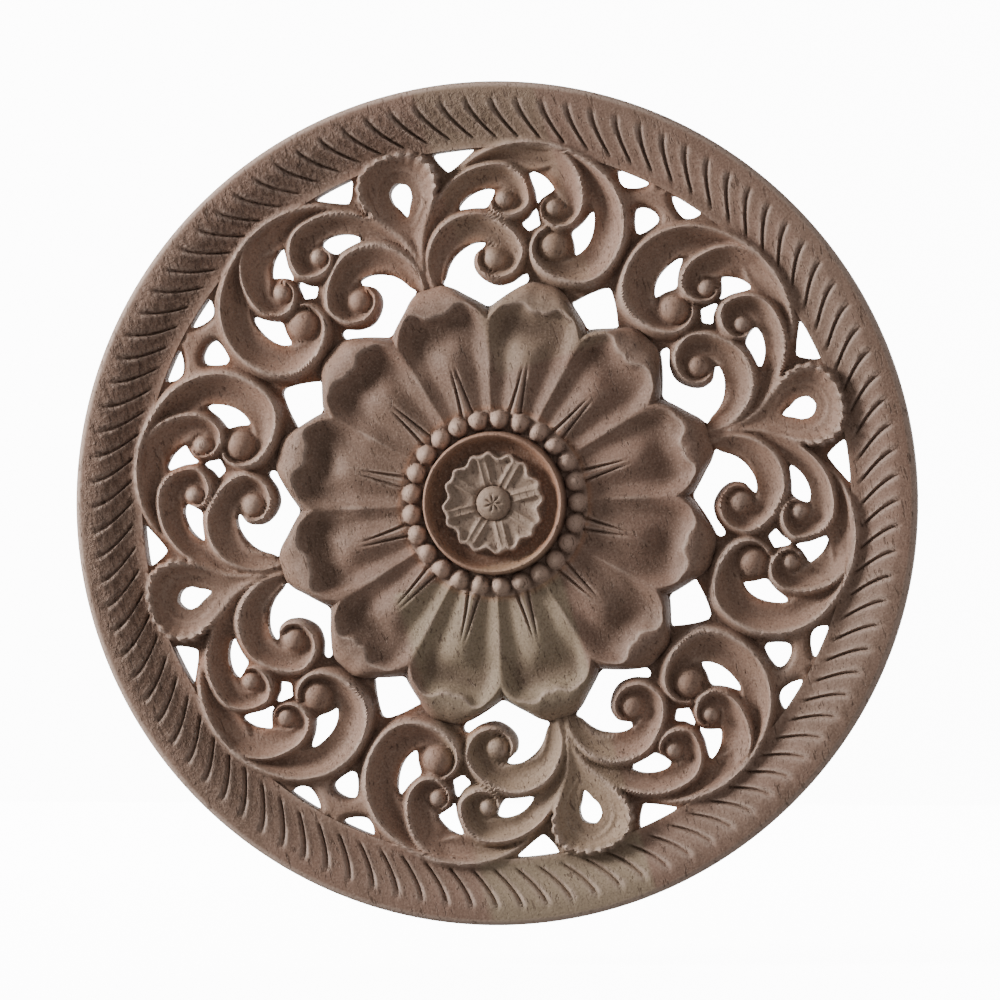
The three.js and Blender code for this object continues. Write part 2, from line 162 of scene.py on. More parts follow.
# Radii of the surface's rings, and shares of the way between two outlines for those that follow one
DOME_RINGS = (1.5, 3, 4.5, 6, 8, 10, 12, 14, 15.6, 16.6)
ROSETTE_SHARES = (0, 0.12, 0.25, 0.38, 0.5, 0.62, 0.73, 0.83, 0.9, 0.96, 1)
SKIRT_SHARES = (0.16, 0.3, 0.62, 1)
RING_RINGS = (60, 62, 64, 65.5, 66.7, 67.6, 68.6, 69.6, 70.4, 71.4)
BEAD_RINGS = np.linspace(72.6, 94, 14)
PETAL_SHARES = np.concatenate((np.linspace(0, 0.8, 20), np.linspace(0.84, 1, 6)))
TIP_SHARES = (0.08, 0.2, 0.36, 0.54, 0.7, 0.84, 0.94, 1.0)
BAND_STEPS = 57
RIM_RINGS = (355, 357.5, 360, 362.5, 365, 367.5, 370, 373, 376.5, 380, 384, 388, 392, 396, 400, 403,
             405.5, 408, 411.5, 414.8, 416.6, 418.3, 419.7, 420.5, DRAWN_RADIUS)

# Scroll strands. Each is drawn about its eye: a turn of 0 degrees points back to the palmette's
# axis and grows over the rim side, and outer and inner give the strand's edges as (turn, radius).
# The eye is a ball of a radius, the rise is a share of the heights of crest and eye, the bevel is
# the width of the slope up to the crest, and sunk is how many millimetres the root dips.
SCROLLS = {
    "inner": {
        "eye": (70.5, 233.0),
        "ball": 13.5,
        "rise": 0.92,
        "bevel": 6.0,
        "outer": ((-8, 71), (5, 72), (26, 70), (50, 66), (69, 60), (89, 53.5), (118, 43.5), (157, 38),
                  (177, 37), (200, 33.5), (226, 30.8), (258, 27), (298, 22.6), (322, 21), (368, 21),
                  (405, 19.5)),
        "inner": ((-8, 56), (5, 50), (26, 43), (50, 27.5), (69, 22.5), (89, 18.5), (118, 14), (200, 12),
                  (322, 10), (405, 9)),
    },
    "upper": {
        "eye": (97.0, 287.0),
        "ball": 10.8,
        "rise": 0.93,
        "bevel": 5.0,
        "outer": ((-13, 96), (2, 81), (13, 73), (25, 65), (46, 54), (62, 48), (80, 43), (98, 40.5),
                  (118, 38.5), (140, 35.5), (182, 31.5), (206, 31.5), (231, 28), (263, 24), (306, 18.6),
                  (342, 16), (400, 13)),
        "inner": ((-13, 84), (-7, 74), (-2, 64), (6, 48), (19, 39), (31, 31), (45, 24), (57, 17),
                  (75, 14), (110, 13), (180, 11), (263, 8), (342, 6), (400, 6)),
    },
    "branch": {
        "eye": (142.0, 264.0),
        "sunk": 3.0,
        "ball": 10.8,
        "rise": 0.93,
        "bevel": 5.0,
        "outer": ((67, 77), (88, 69), (100, 67), (113, 62.5), (125, 57), (134, 52.5), (147, 46.5),
                  (158, 42), (172, 38), (186, 35.5), (204, 33), (223, 30.5), (250, 27.5), (288, 22),
                  (332, 16), (370, 14.5), (440, 13)),
        "inner": ((67, 52), (75, 44), (87, 38), (98, 29), (110, 20), (125, 15), (180, 13), (250, 10),
                  (332, 8), (440, 7)),
    },
    "outer": {
        "eye": (131.0, 228.0),
        "sunk": 3.2,
        "ball": 17.0,
        "rise": 1.0,
        "bevel": 8.0,
        "outer": ((38, 128), (46, 128), (61, 127), (77, 121.5), (99, 111.5), (125, 100), (150, 93),
                  (171, 86), (192, 78), (215, 69), (243, 59), (270, 46), (304, 36), (347, 29),
                  (394, 24), (441, 22)),
        "inner": ((38, 106), (61, 102), (75, 92), (90, 79), (113, 80), (124, 75), (136, 64), (146, 57),
                  (158, 53), (168, 47), (181, 40), (197, 33.5), (222, 25.5), (245, 19), (300, 15),
                  (441, 10)),
    },
}

# Pierced openings of half a quarter, as (u, v)
OPENINGS = (
    # round the inner scroll
    ((13.5, 225.5), (18, 231), (24, 240), (32, 247.5), (42, 252.5), (52, 255), (60, 254.5),
     (65.5, 252.5), (66.5, 250), (62, 247), (55, 243.5), (52, 240), (49.5, 233), (50, 226),
     (53.5, 218.5), (58, 213), (63, 209), (70, 206.5), (80, 206.5), (88, 209), (94, 210.8),
     (97.5, 209), (98, 205), (95, 201), (88, 200), (75, 197), (62, 193), (55, 190.5), (50, 191),
     (44, 196), (36, 204), (26, 213.5), (18, 220)),
    # between the inner and the upper scroll
    ((51, 293), (56, 297.5), (64, 301.5), (73, 303.5), (82, 303.5), (88, 301.5), (91, 299), (90, 295.5),
     (86, 290), (81, 286), (77, 285), (68, 287.5), (57, 289.5), (52, 290.5)),
    # beside the palmette, under the rim
    ((42, 352.5), (43, 346), (46.5, 338), (50.5, 331.5), (53, 330), (57, 331), (66, 334.5), (76, 339),
     (84, 343), (84.5, 345), (80, 347.5), (70, 349.5), (55, 351.5), (46, 353)),
    # between the upper scroll and the branch
    ((128.5, 305), (131, 307), (136, 304), (142, 298), (146, 291), (148.5, 284), (147.5, 281),
     (140, 279), (133, 276.5), (129.5, 273.5), (127.5, 276), (129, 287), (128.5, 297)),
    # between three eyes
    ((107, 260), (115, 263.5), (121, 268.5), (124.5, 270), (126, 266), (125, 257), (124.5, 252.5),
     (119, 251), (112, 250), (109, 254)),
    # inside the outer scroll
    ((151, 234), (150.5, 224), (148.5, 214), (151, 212.5), (158, 214.5), (166, 220), (173, 229),
     (178, 240), (179.5, 247), (178, 250), (174, 248.5), (167, 243.5), (159, 239.5), (153.5, 237.5)),
)

# Openings by the line between two quarters, as (degrees from that line, radius)
LINK_OPENINGS = (
    ((7.6, 352), (7.3, 355), (5, 355), (2.6, 354.5), (2.1, 352), (2.9, 347), (4, 343), (5.5, 340.5),
     (6.8, 344)),
    ((0, 331), (1.5, 329.5), (2.3, 324), (1.6, 313), (0.6, 305), (0, 304), (-0.6, 305), (-1.6, 313),
     (-2.3, 324), (-1.5, 329.5)),
    ((0, 242), (1, 240.5), (3.6, 230), (6.3, 217.5), (7, 214), (6, 209), (3.5, 203), (1, 197.8),
     (0, 197), (-1, 197.8), (-3.5, 203), (-6, 209), (-7, 214), (-6.3, 217.5), (-3.6, 230),
     (-1, 240.5)),
)

# The palmette's outline and hole about a middle on the axis, as (degrees from outward, radius)
PALMETTE_MIDDLE = 318.0
PALMETTE_SCALLOP = 15.0
PALMETTE_OUTLINE = ((0, 47), (28, 48.5), (47, 49.5), (60, 47.5), (74, 44.5), (84, 42), (102, 36.5),
                    (130, 33), (156, 39), (168, 48), (175, 62), (180, 80))
PALMETTE_HOLE = ((0, 16.5), (45, 14), (80, 11), (100, 10.3), (130, 9.8), (155, 12), (180, 19))

# A petal's outline, as (degrees from its middle, share of the flower's radius)
PETAL_OUTLINE = ((0, 1), (3.5, 0.998), (5.8, 0.978), (8.1, 0.947), (11.3, 0.911), (14.1, 0.88),
                 (15, 0.866))

# A petal's folded lip as (degrees from its middle, radius), and the waves cut into its edge
LIP_LINE = ((0, 197.5), (2, 198.5), (5, 200.5), (8.3, 201), (11, 197), (13.2, 189), (15, 181))
LIP_WAVES = ((0, -1.2), (1.8, -3.2), (3.2, -2.4), (5, 1.6), (7.5, 1.6), (9.5, -0.4), (11.5, 0.2),
             (13, 0), (17, 0))

# A lobe of the rosette, as (degrees from its middle, radius)
LOBE_OUTLINE = ((0, 48), (3, 48.5), (6, 49.8), (9, 50.5), (12, 50), (15, 48.3), (18, 46.4),
                (20.5, 45.4), (22.5, 45.1))

# Belts of the colour by the distance from the middle in metres: where each starts, is full, fades
# and ends. The heart is the rosette, which has one edge, and the nest is the bed between it and the
# petals. The nest's and the beads' belts also carry painted fill light, the shaded rim side painted
# shade, and the outer edge a painted reflection.
NEST_BELT = (0.0152, 0.0160, 0.0275, 0.0300)
RING_BELT = (0.0172, 0.0176, 0.0212, 0.0216)
BEADS_BELT = (0.0212, 0.0218, 0.0272, 0.0282)
BAND_BELT = (0.060, 0.066, 0.104, 0.108)
SHADED_RIM_BELT = (0.106, 0.109, 0.1215, 0.1235)
HEART_EDGE = (0.0140, 0.0152)
OUTER_EDGE = (0.1228, 0.1242)

# Lamps, as (name, place, size, share of the key light's power): one large soft key low at the left,
# a broad weak fill at the front, and light thrown back by the white paper behind
LAMPS = (
    ("key_light", (-1.15, -0.42, 0.42), 0.35, 1.0),
    ("front_fill", (0.5, -1.5, 1.2), 1.6, 0.07),
    ("paper_bounce", (0.0, 0.6, 0.0), 1.2, 0.45),
)


def held(value):
    """The value held between 0 and 1."""
    return np.clip(value, 0, 1)


def way(low, high, value):
    """How far a value has come from low to high, held between 0 and 1."""
    return held((value - low) / (high - low))


def centred(value, pitch):
    """The value less whole pitches, so it lies within half a pitch of 0."""
    return np.mod(value + pitch / 2, pitch) - pitch / 2


def smooth(low, high, value):
    """0 below low, 1 above high, and between them three times the share squared less twice its cube."""
    share = way(low, high, value)
    return share * share * (3 - 2 * share)


def mix(first, last, share):
    """First at share 0, last at share 1, and straight between."""
    return first + (last - first) * share


def hump(value, middle, width):
    """Bell curve of height 1 about a middle: e to the minus square of the distance over the width."""
    return np.exp(-(((value - middle) / width) ** 2))


def along(pairs, place):
    """Smooth curve through (place, value) pairs: cubics whose slope at an inner pair is the mean of
    the slopes on its two sides."""
    places, values = np.array(pairs, float).T
    gaps = np.diff(places)
    slopes = np.diff(values) / gaps
    tangents = np.concatenate((slopes[:1], (slopes[1:] + slopes[:-1]) / 2, slopes[-1:]))
    i = np.clip(np.searchsorted(places, place) - 1, 0, len(gaps) - 1)
    t = held((place - places[i]) / gaps[i])
    bend = values[i] * (1 + 2 * t) * (1 - t) ** 2 + values[i + 1] * t * t * (3 - 2 * t)
    return bend + gaps[i] * (tangents[i] * t * (1 - t) ** 2 - tangents[i + 1] * t * t * (1 - t))


def bearing(x, y):
    """Angle of plan points in degrees, from x towards y."""
    return np.degrees(np.arctan2(y, x))


def folded(x, y):
    """Plan points in the half quarter that the drawing describes, as u and v: the angle from the
    nearest palmette axis, from 0 to 45 degrees, with the radius kept."""
    radius = np.hypot(x, y)
    turn = np.mod(bearing(x, y) - GROUP_TURN, QUARTER)
    turn = np.radians(np.minimum(turn, QUARTER - turn))
    return radius * np.sin(turn), radius * np.cos(turn)


def closed_curve(points, parts=6):
    """A closed line through points, each side split in parts on a cubic whose slope at a point is
    half the step between its neighbours."""
    here = np.array(points, float)[:, None]
    ahead, behind = np.roll(here, -1, 0), np.roll(here, 1, 0)
    beyond = np.roll(here, -2, 0)
    t = (np.arange(parts) / parts)[None, :, None]
    start, end = (ahead - behind) / 2, (beyond - here) / 2
    line = here * (1 + 2 * t) * (1 - t) ** 2 + ahead * t * t * (3 - 2 * t)
    return (line + start * t * (1 - t) ** 2 - end * t * t * (1 - t)).reshape(-1, 2)


def hole_outlines():
    """Every opening of the half quarter as a closed line of (u, v)."""
    lines = [closed_curve(points) for points in OPENINGS]
    for points in LINK_OPENINGS:
        degrees, radius = closed_curve(points).T
        turn = np.radians(QUARTER / 2 - degrees)
        lines.append(np.stack((radius * np.sin(turn), radius * np.cos(turn)), 1))
    turn = np.arange(0, 360, 6.0)
    radius = along(PALMETTE_HOLE, np.minimum(turn, 360 - turn))
    turn = np.radians(turn)
    lines.append(np.stack((radius * np.sin(turn), PALMETTE_MIDDLE + radius * np.cos(turn)), 1))
    return lines


def depth_in_holes(u, v):
    """How deep each point lies in an opening: the distance to the nearest outline, positive inside
    and negative outside, with the nearest outline point."""
    depth = np.full(u.shape, FAR_FROM_HOLES)
    near = np.stack((u, v), 1)
    for line in hole_outlines():
        low, high = line.min(0) - FOOT_REACH, line.max(0) + FOOT_REACH
        close = np.flatnonzero((u > low[0]) & (u < high[0]) & (v > low[1]) & (v < high[1]))
        point = np.stack((u[close], v[close]), 1)[:, None]
        start, end = line[None], np.roll(line, -1, 0)[None]
        side = end - start
        share = held(((point - start) * side).sum(2) / (side**2).sum(2))
        foot = start + side * share[..., None]
        gap = np.hypot(*np.moveaxis(point - foot, 2, 0))
        nearest = gap.argmin(1)
        above = (start[..., 1] > point[..., 1]) != (end[..., 1] > point[..., 1])
        rise = np.where(np.abs(side[..., 1]) > 1e-9, side[..., 1], 1e-9)
        crossing = start[..., 0] + side[..., 0] * (point[..., 1] - start[..., 1]) / rise
        inside = ((above & (point[..., 0] < crossing)).sum(1) % 2) == 1
        rows = np.arange(len(close))
        found = np.where(inside, 1, -1) * gap[rows, nearest]
        deeper = found > depth[close]
        depth[close[deeper]] = found[deeper]
        near[close[deeper]] = foot[rows, nearest][deeper]
    return depth, near


def petal_outline(turn):
    """Radius of the flower's outline at an angle in degrees."""
    half = np.abs(centred(turn - GROUP_TURN, PETAL_PITCH))
    return FLOWER_RADIUS * along(PETAL_OUTLINE, half)


def strand_heights(scroll, u, v, sizes):
    """Height of one scroll's strand and eye. Across a strand the height climbs a bevel from the
    outer edge to a sharp crest, drops in a cove that is lowest at two thirds of the width and ends
    in a slight lip at the inner edge; it follows the turn about the eye from root to tail and rolls
    into a low round collar there. The eye is a ball. Also returns how far outward each point would
    move to lie on the crest."""
    across, out = scroll["eye"][0] - u, v - scroll["eye"][1]
    radius = np.hypot(across, out)
    base = bearing(across, out)
    first, last = scroll["outer"][0][0], scroll["outer"][-1][0]
    height = np.full(u.shape, -1.0)
    to_crest = np.full(u.shape, NO_CREST)
    for lap in (-360.0, 0.0, 360.0):
        turn = np.clip(base + lap, first, last)
        missed = np.radians(np.abs(base + lap - turn)) * radius
        outer, inner = along(scroll["outer"], turn), along(scroll["inner"], turn)
        width = outer - inner
        missed = missed + np.maximum(radius - outer, 0) + np.maximum(inner - radius, 0)
        share = (turn - first) / (last - first)
        swell = mix(0.8, 1.0, smooth(0, 0.12, share)) * mix(1.0, 0.9, smooth(0.7, 1.0, share))
        crest = sizes.crest_height * scroll["rise"] * swell
        roll = smooth(0.45, 0.8, share)
        span = mix(width, np.maximum(outer - scroll["ball"] + 1.0, 3.0), roll)
        bevel = mix(np.minimum(scroll["bevel"], width * 0.4), span * 0.55, roll)
        edge = sizes.edge_height
        low = mix(sizes.cove_height, edge, 0.3 * smooth(0.0, 0.25, 0.25 - share))
        low = low - 0.9 * smooth(0.5, 0.75, share)
        sunk = scroll.get("sunk", 0.0) * smooth(0.12, 0.0, share)
        crest, low, edge = crest - sunk, low - sunk, edge - sunk
        place = outer - radius
        climb = mix(edge, crest, 1 - (1 - held(place / bevel)) ** 1.5)
        behind = held((place - bevel) / np.maximum(span - bevel, 1e-6))
        drop = mix(1 - (1 - held(behind / 0.66)) ** 1.9, behind**1.7, roll)
        drop = mix(crest, low, drop)
        drop = drop + sizes.lip_rise * held((behind - 0.6) / 0.4) ** 2
        found = np.where(place < bevel, climb, drop) - SKIRT_SLOPE * missed
        better = (missed < FOOT_REACH) & (found > height)
        height = np.where(better, found, height)
        to_crest = np.where(better, place - bevel, to_crest)
    ball = scroll["ball"]
    dome = held(1 - (radius / ball) ** 2) ** 0.62
    top = sizes.eye_height * scroll["rise"]
    dome = mix(sizes.cove_height - 1.0, top, dome) - SKIRT_SLOPE * np.maximum(radius - ball, 0)
    to_crest = np.where(dome > height, NO_CREST, to_crest)
    height = np.maximum(height, dome)
    unit = np.stack((-across, out), 1) / np.maximum(radius, 1e-6)[:, None]
    return height, unit * to_crest[:, None]


def palmette_heights(u, v, sizes):
    """Height of the palmette, a fan about its hole: from the hole's edge out, a low flat collar, a
    fine ridge and a stronger one, then a hollow blade that climbs with radial flutes to a scalloped
    lip and drops outside it. The lip sinks towards the stem."""
    across, out = u, v - PALMETTE_MIDDLE
    radius = np.hypot(across, out)
    turn = bearing(out, np.abs(across))
    hole = along(PALMETTE_HOLE, turn)
    fan = smooth(120, 90, turn)
    scallop = np.abs(np.cos(np.radians(turn * 180 / PALMETTE_SCALLOP)))
    outline = along(PALMETTE_OUTLINE, turn) - 2.7 * fan * (1 - scallop**0.9)
    blade = (radius - hole - COLLAR_WIDTH) / np.maximum(outline - hole - COLLAR_WIDTH, 1)
    upper = (1 + np.cos(np.radians(turn))) / 2
    lip = mix(9.2, sizes.palmette_height, smooth(0.0, 0.6, upper))
    floor = mix(7.4, 8.1, upper)
    collar = floor + 0.2 * hump(radius - hole, 3.5, 1.8)
    flute = 1.15 * fan * (scallop - 0.5) * smooth(0.1, 0.8, blade)
    rising = mix(floor, lip, way(0, LIP_SHARE, blade) ** 1.35) + flute
    falling = mix(lip + flute, sizes.edge_height, way(LIP_SHARE, 1, blade) ** 1.3)
    found = np.where(blade < 0, collar, np.where(blade < LIP_SHARE, rising, falling))
    ridges = 0.5 * hump(radius - hole, 7.0, 1.7) + 0.9 * hump(radius - hole, 12.5, 2.4)
    found = found + ridges * smooth(-0.2, 0.3, upper)
    outside = np.maximum(radius - outline, 0) + np.maximum(-6 - (radius - hole), 0)
    return np.where(outside < FOOT_REACH, found - SKIRT_SLOPE * outside, -1)


def link_heights(u, v, sizes):
    """Height of the links between the outer scrolls' backs and the rim: a rounded rib along the
    middle of every narrow bridge there, so it grows with the distance from the openings, and a
    small pit where two ribs meet the rim."""
    radius = np.hypot(u, v)
    side = np.radians(QUARTER / 2 - bearing(v, u)) * radius
    found = np.full(u.shape, -1.0)
    near = (radius > LINK_PLACE[0]) & (radius < LINK_PLACE[1]) & (side < LINK_HALF)
    inland = held(-depth_in_holes(u[near], v[near])[0] / RIB_HALF)
    rib = mix(sizes.ground_height, sizes.link_height, 1 - (1 - inland) ** 2)
    from_pit = np.hypot(side[near], radius[near] - PIT_RADIUS)
    found[near] = rib - PIT_DEPTH * hump(from_pit, 0, PIT_WIDTH)
    return found


def band_heights(x, y, sizes):
    """Height of the pierced band: the highest of the ground, which climbs to the rim, the four
    strands, the palmette and the link at each point. Also returns the plan move that puts a point on
    the crest over it."""
    u, v = folded(x, y)
    climb = smooth(*GROUND_CLIMB, np.hypot(x, y))
    height = mix(sizes.ground_height, sizes.rim_inner_height - RIM_STEP, climb)
    move = np.full((len(x), 2), NO_CREST)
    for scroll in SCROLLS.values():
        found, to_crest = strand_heights(scroll, u, v, sizes)
        move = np.where((found > height)[:, None], to_crest, move)
        height = np.maximum(height, found)
    for found in (palmette_heights(u, v, sizes), link_heights(u, v, sizes)):
        move[found > height] = NO_CREST
        height = np.maximum(height, found)
    return height, move


def soft_band(x, y, sizes):
    """Height of the band averaged over a point and four about it, so a steep edge between two points
    of the surface shows no steps. The inner weight and the reach suit the rings' spacing."""
    found = OWN_WEIGHT * band_heights(x, y, sizes)[0]
    for aside, ahead in ((SOFT_REACH, 0), (-SOFT_REACH, 0), (0, SOFT_REACH), (0, -SOFT_REACH)):
        found = found + SIDE_WEIGHT * band_heights(x + aside, y + ahead, sizes)[0]
    return found


def groove_turn(radius):
    """Degrees that a groove has turned at a radius: fast at its inner end, then ever more slowly."""
    share = way(GROOVE_START, GROOVE_END, radius)
    return GROOVE_TURN * (1 - (1 - share) ** 1.73) - 0.15 * (radius > GROOVE_START - 4)


def rim_heights(x, y, column, sizes):
    """Height of the rim: a curved slope up from its inner edge to a flat land and a quarter round at
    the outside, cut by V grooves that are deepest at their middles and taper at both ends. The
    scrolls' backs and the palmettes' lips lie over its inner part."""
    radius = np.hypot(x, y)
    height = mix(sizes.rim_inner_height, sizes.rim_height, smooth(*RIM_CLIMB, radius))
    taper = way(GROOVE_START, GROOVE_END, radius)
    taper = smooth(0.0, 0.2, taper) * smooth(1.0, 0.75, taper)
    off = centred(column, RIM_SIDES // GROOVE_COUNT)
    groove = held(1 - np.abs(off)) - 0.2 * hump(off, 1.3, 1.0)
    height = height - sizes.groove_depth * taper * groove
    over = radius < BACKS_END
    height[over] = np.maximum(height[over], soft_band(x[over], y[over], sizes))
    edge = held((radius - (DRAWN_RADIUS - RIM_ROUND)) / RIM_ROUND)
    return height - sizes.edge_round * (1 - np.sqrt(held(1 - edge**2)))


def lip_radius(turn):
    """Radius of the petals' folded lip at an angle in degrees: its line with waves and a little
    unevenness round the flower."""
    offset = centred(turn - GROUP_TURN, PETAL_PITCH)
    away = np.abs(offset)
    wander = 0.9 * np.sin(np.radians(7 * turn)) + 0.7 * np.sin(np.radians(19 * turn + 40))
    wander = wander * (1 - (away / (PETAL_PITCH / 2)) ** 4)
    shifted = np.abs(offset + 1.5 * np.sin(np.radians(5 * turn)))
    return along(LIP_LINE, away) + along(LIP_WAVES, shifted) * (1 + 0.25 * wander) + wander


def vein_spread(radius):
    """Distance of a petal's two cuts from its axis, and half their width: they converge and narrow
    from the beads outward."""
    share = way(FLOWER_ROOT, FLOWER_ROOT + VEIN_LENGTH, radius)
    return mix(5.2, 1.7, share**0.8), mix(2.6, 1.1, share)


def flower_heights(x, y, sizes):
    """Height of the petals. Within the folded lip, a rounded midrib swells between two hollows and
    ends in a bowl, a sharp ridge parts each petal from the next, and the bowl's wall climbs ever
    more steeply to the lip. Outside the lip the folded tip rounds over and down to the outline. Two
    V cuts run up the midrib."""
    radius = np.hypot(x, y)
    turn = bearing(x, y)
    offset = centred(turn - GROUP_TURN, PETAL_PITCH)
    away = np.abs(offset)
    half = away / (PETAL_PITCH / 2)
    outline = petal_outline(turn)
    lip_line = lip_radius(turn)
    plain = along(LIP_LINE, away)
    step = np.radians(0.8) * LIP_RADIUS
    steep = (along(LIP_LINE, away + 0.4) - along(LIP_LINE, away - 0.4)) / step
    gap = plain - radius
    gap = gap + (lip_line - plain) * smooth(10, 3.0, gap)
    gap = gap / np.sqrt(1 + steep**2)
    share = way(FLOWER_ROOT, plain, radius)
    lip = sizes.petal_lip - 0.6 * half**4
    edge = sizes.petal_edge
    floor = sizes.petal_floor + 0.3 * hump(share, 0.0, 0.12) - 1.1 * smooth(0.4, 0.75, share)
    wall = mix(1.3, 2.4, smooth(0.05, 0.7, share)) * held((half - 0.58) / 0.42) ** 1.4
    wide = mix(0.7, 0.6, share)
    swell = mix(1.5, 2.3, smooth(0.0, 0.45, share)) * smooth(0.79, 0.54, share)
    swell = swell * np.cos(np.pi / 2 * held(half / wide)) ** 2
    inner = mix(floor + wall + swell, lip, held(1 - gap / BOWL_WIDTH) ** 2.1)
    beyond = held((radius - lip_line) / np.maximum(outline - lip_line, 1))
    outer = lip - (lip - edge) * beyond**2.3
    height = np.where(gap > 0, inner, outer)
    side = np.radians(away) * radius
    spread, brink = vein_spread(radius)
    cut = held(1 - np.abs(side - spread) / brink)
    return height - sizes.vein_depth * cut * smooth(FLOWER_ROOT + VEIN_LENGTH, FLOWER_ROOT + 20, radius)


def rosette_outline(turn):
    """Radius of the rosette's lobed edge at an angle in degrees."""
    half = np.abs(centred(turn - LOBE_TURN, LOBE_PITCH))
    return along(LOBE_OUTLINE, half)


def centre_heights(x, y, sizes):
    """Height of the middle: a dome with a star of pricks in a shallow dish of eight lobes, each with
    a flat rib between two fine ridges, a thin raised edge round it, the well, the thin ring, and a
    row of balls on a bed that runs out into the petals."""
    radius = np.hypot(x, y)
    turn = bearing(x, y)
    well = sizes.well_height
    bed = sizes.bead_bed
    ring = sizes.ring_height
    wall = mix(well, ring, way(WELL_RADIUS, RING_RADIUS - 1.0, radius) ** 2.3)
    height = np.where(radius > WELL_RADIUS, wall, well)
    outside = mix(ring, bed, held((radius - RING_RADIUS - 1.0) / 3.4) ** 1.4)
    outside = mix(outside, flower_heights(x, y, sizes), smooth(84.0, 95.0, radius))
    height = np.where(radius > RING_RADIUS + 1.0, outside, height)
    edge = rosette_outline(turn)
    top = sizes.rosette_height
    share = (radius - DOME_RADIUS) / (edge - DOME_RADIUS)
    fold = np.abs(centred(turn - LOBE_TURN, LOBE_PITCH))
    side = radius * np.sin(np.radians(fold))
    scoop = 0.85 * smooth(3.4, 8.0, side) * smooth(0.1, 0.35, share) - 0.3 * hump(side, 3.3, 1.1)
    dish = top - 1.2 * (1 - held(share)) ** 1.3 - scoop * smooth(0.98, 0.8, share)
    dish = dish + 0.75 * hump(edge - radius, 2.0, 2.2) - 0.8 * hump(radius, DOME_RADIUS + 0.6, 1.6)
    skirt = mix(top + 0.33, well, held((radius - edge) / 2.2) ** 1.7)
    rosette = np.where(radius < edge, dish, skirt)
    height = np.where(radius < edge + 2.2, np.maximum(height, rosette), height)
    dome = np.sqrt(held(1 - (radius / (DOME_RADIUS + 0.5)) ** 2.4))
    star = 0.9 * hump(radius, 5.0, 2.6) * np.cos(np.radians(turn * 3.5)) ** 6
    star = star + 0.6 * hump(radius, 0, 1.8)
    dome = mix(top - 2.0, sizes.dome_height, dome) - star
    height = np.where(radius < DOME_RADIUS, dome, height)
    off = centred(turn - BEAD_TURN, 360 / BEAD_COUNT)
    across = 2 * BEAD_CIRCLE * np.sin(np.radians(off / 2))
    gap = np.hypot(across, radius - BEAD_CIRCLE)
    ball = np.sqrt(held(1 - (gap / BEAD_RADIUS) ** 2))
    ball = np.where(gap < BEAD_RADIUS, mix(bed - 0.8, sizes.bead_height, ball), -1)
    return np.maximum(height, ball)


def ring_of(outline, sides, zone, towards=0.0, share=0.0, shift=0.0, lift=np.nan):
    """One ring of the surface: evenly spaced angles, shifted by some degrees, at an outline's radius
    or a share of the way towards another outline's. An outline is a radius or a function of the
    angle in degrees. The ring has the zone whose height it takes, or a fixed height as its lift."""
    turn = GROUP_TURN + np.arange(sides) * 360 / sides + shift
    start, end = (line(turn) if callable(line) else float(line) for line in (outline, towards))
    radius = mix(start, end, share)
    return {
        "x": radius * np.cos(np.radians(turn)),
        "y": radius * np.sin(np.radians(turn)),
        "column": np.arange(sides),
        "zone": np.full(sides, zone),
        "lift": np.full(sides, lift),
    }


def vein_shift(radius):
    """Shift of every column of a flower ring that keeps a petal's third columns in its cuts' bottoms
    and the second and fourth on their brinks, and spreads the rest evenly."""
    columns = FLOWER_SIDES * PETAL_PITCH / 360
    column = centred(np.arange(FLOWER_SIDES), columns)
    spread, brink = vein_spread(radius)
    placed = np.array((0.0, (spread - brink) / 2, spread - brink, spread, spread + brink))
    placed = np.append(np.degrees(placed / radius), PETAL_PITCH / 2)
    wanted = np.sign(column) * np.interp(np.abs(column), (0, 1, 2, 3, 4, columns / 2), placed)
    even = column * 360 / FLOWER_SIDES
    return (wanted - even) * smooth(FLOWER_ROOT + 75, FLOWER_ROOT + 50, radius)


def rings():
    """Every ring from the middle out: dome, rosette, ring, beads, petals, pierced band, rim and
    outer wall. The rosette's rings run in step with its edge, the petals' and the band's with the
    flower's outline, and the rim's turn with its grooves."""
    made = [ring_of(radius, DOME_SIDES, CENTRE) for radius in DOME_RINGS]
    made.append(ring_of(DOME_FOOT, CENTRE_SIDES, CENTRE))
    for share in ROSETTE_SHARES:
        made.append(ring_of(ROSETTE_START, CENTRE_SIDES, CENTRE, rosette_outline, share))
    for share in SKIRT_SHARES:
        made.append(ring_of(rosette_outline, CENTRE_SIDES, CENTRE, SKIRT_END, share))
    made += [ring_of(radius, CENTRE_SIDES, CENTRE) for radius in RING_RINGS]
    made += [ring_of(radius, BEAD_SIDES, CENTRE) for radius in BEAD_RINGS]
    for share in PETAL_SHARES:
        shift = vein_shift(FLOWER_ROOT + share * 100)
        made.append(ring_of(FLOWER_ROOT, FLOWER_SIDES, FLOWER, lip_radius, share, shift))
    for share in TIP_SHARES:
        made.append(ring_of(lip_radius, FLOWER_SIDES, FLOWER, petal_outline, share))
    for share in np.arange(BAND_STEPS + 1) / BAND_STEPS:
        eased = share + 0.16 * share * (1 - share)
        made.append(ring_of(petal_outline, RIM_SIDES, BAND, RIM_INNER, eased))
    made += [ring_of(radius, RIM_SIDES, RIM, shift=groove_turn(radius)) for radius in RIM_RINGS]
    shift = groove_turn(DRAWN_RADIUS)
    made.append(ring_of(DRAWN_RADIUS, RIM_SIDES, RIM, shift=shift, lift=BEVEL_HEIGHT))
    made.append(ring_of(DRAWN_RADIUS - BACK_BEVEL, RIM_SIDES, RIM, shift=shift, lift=0.0))
    return made


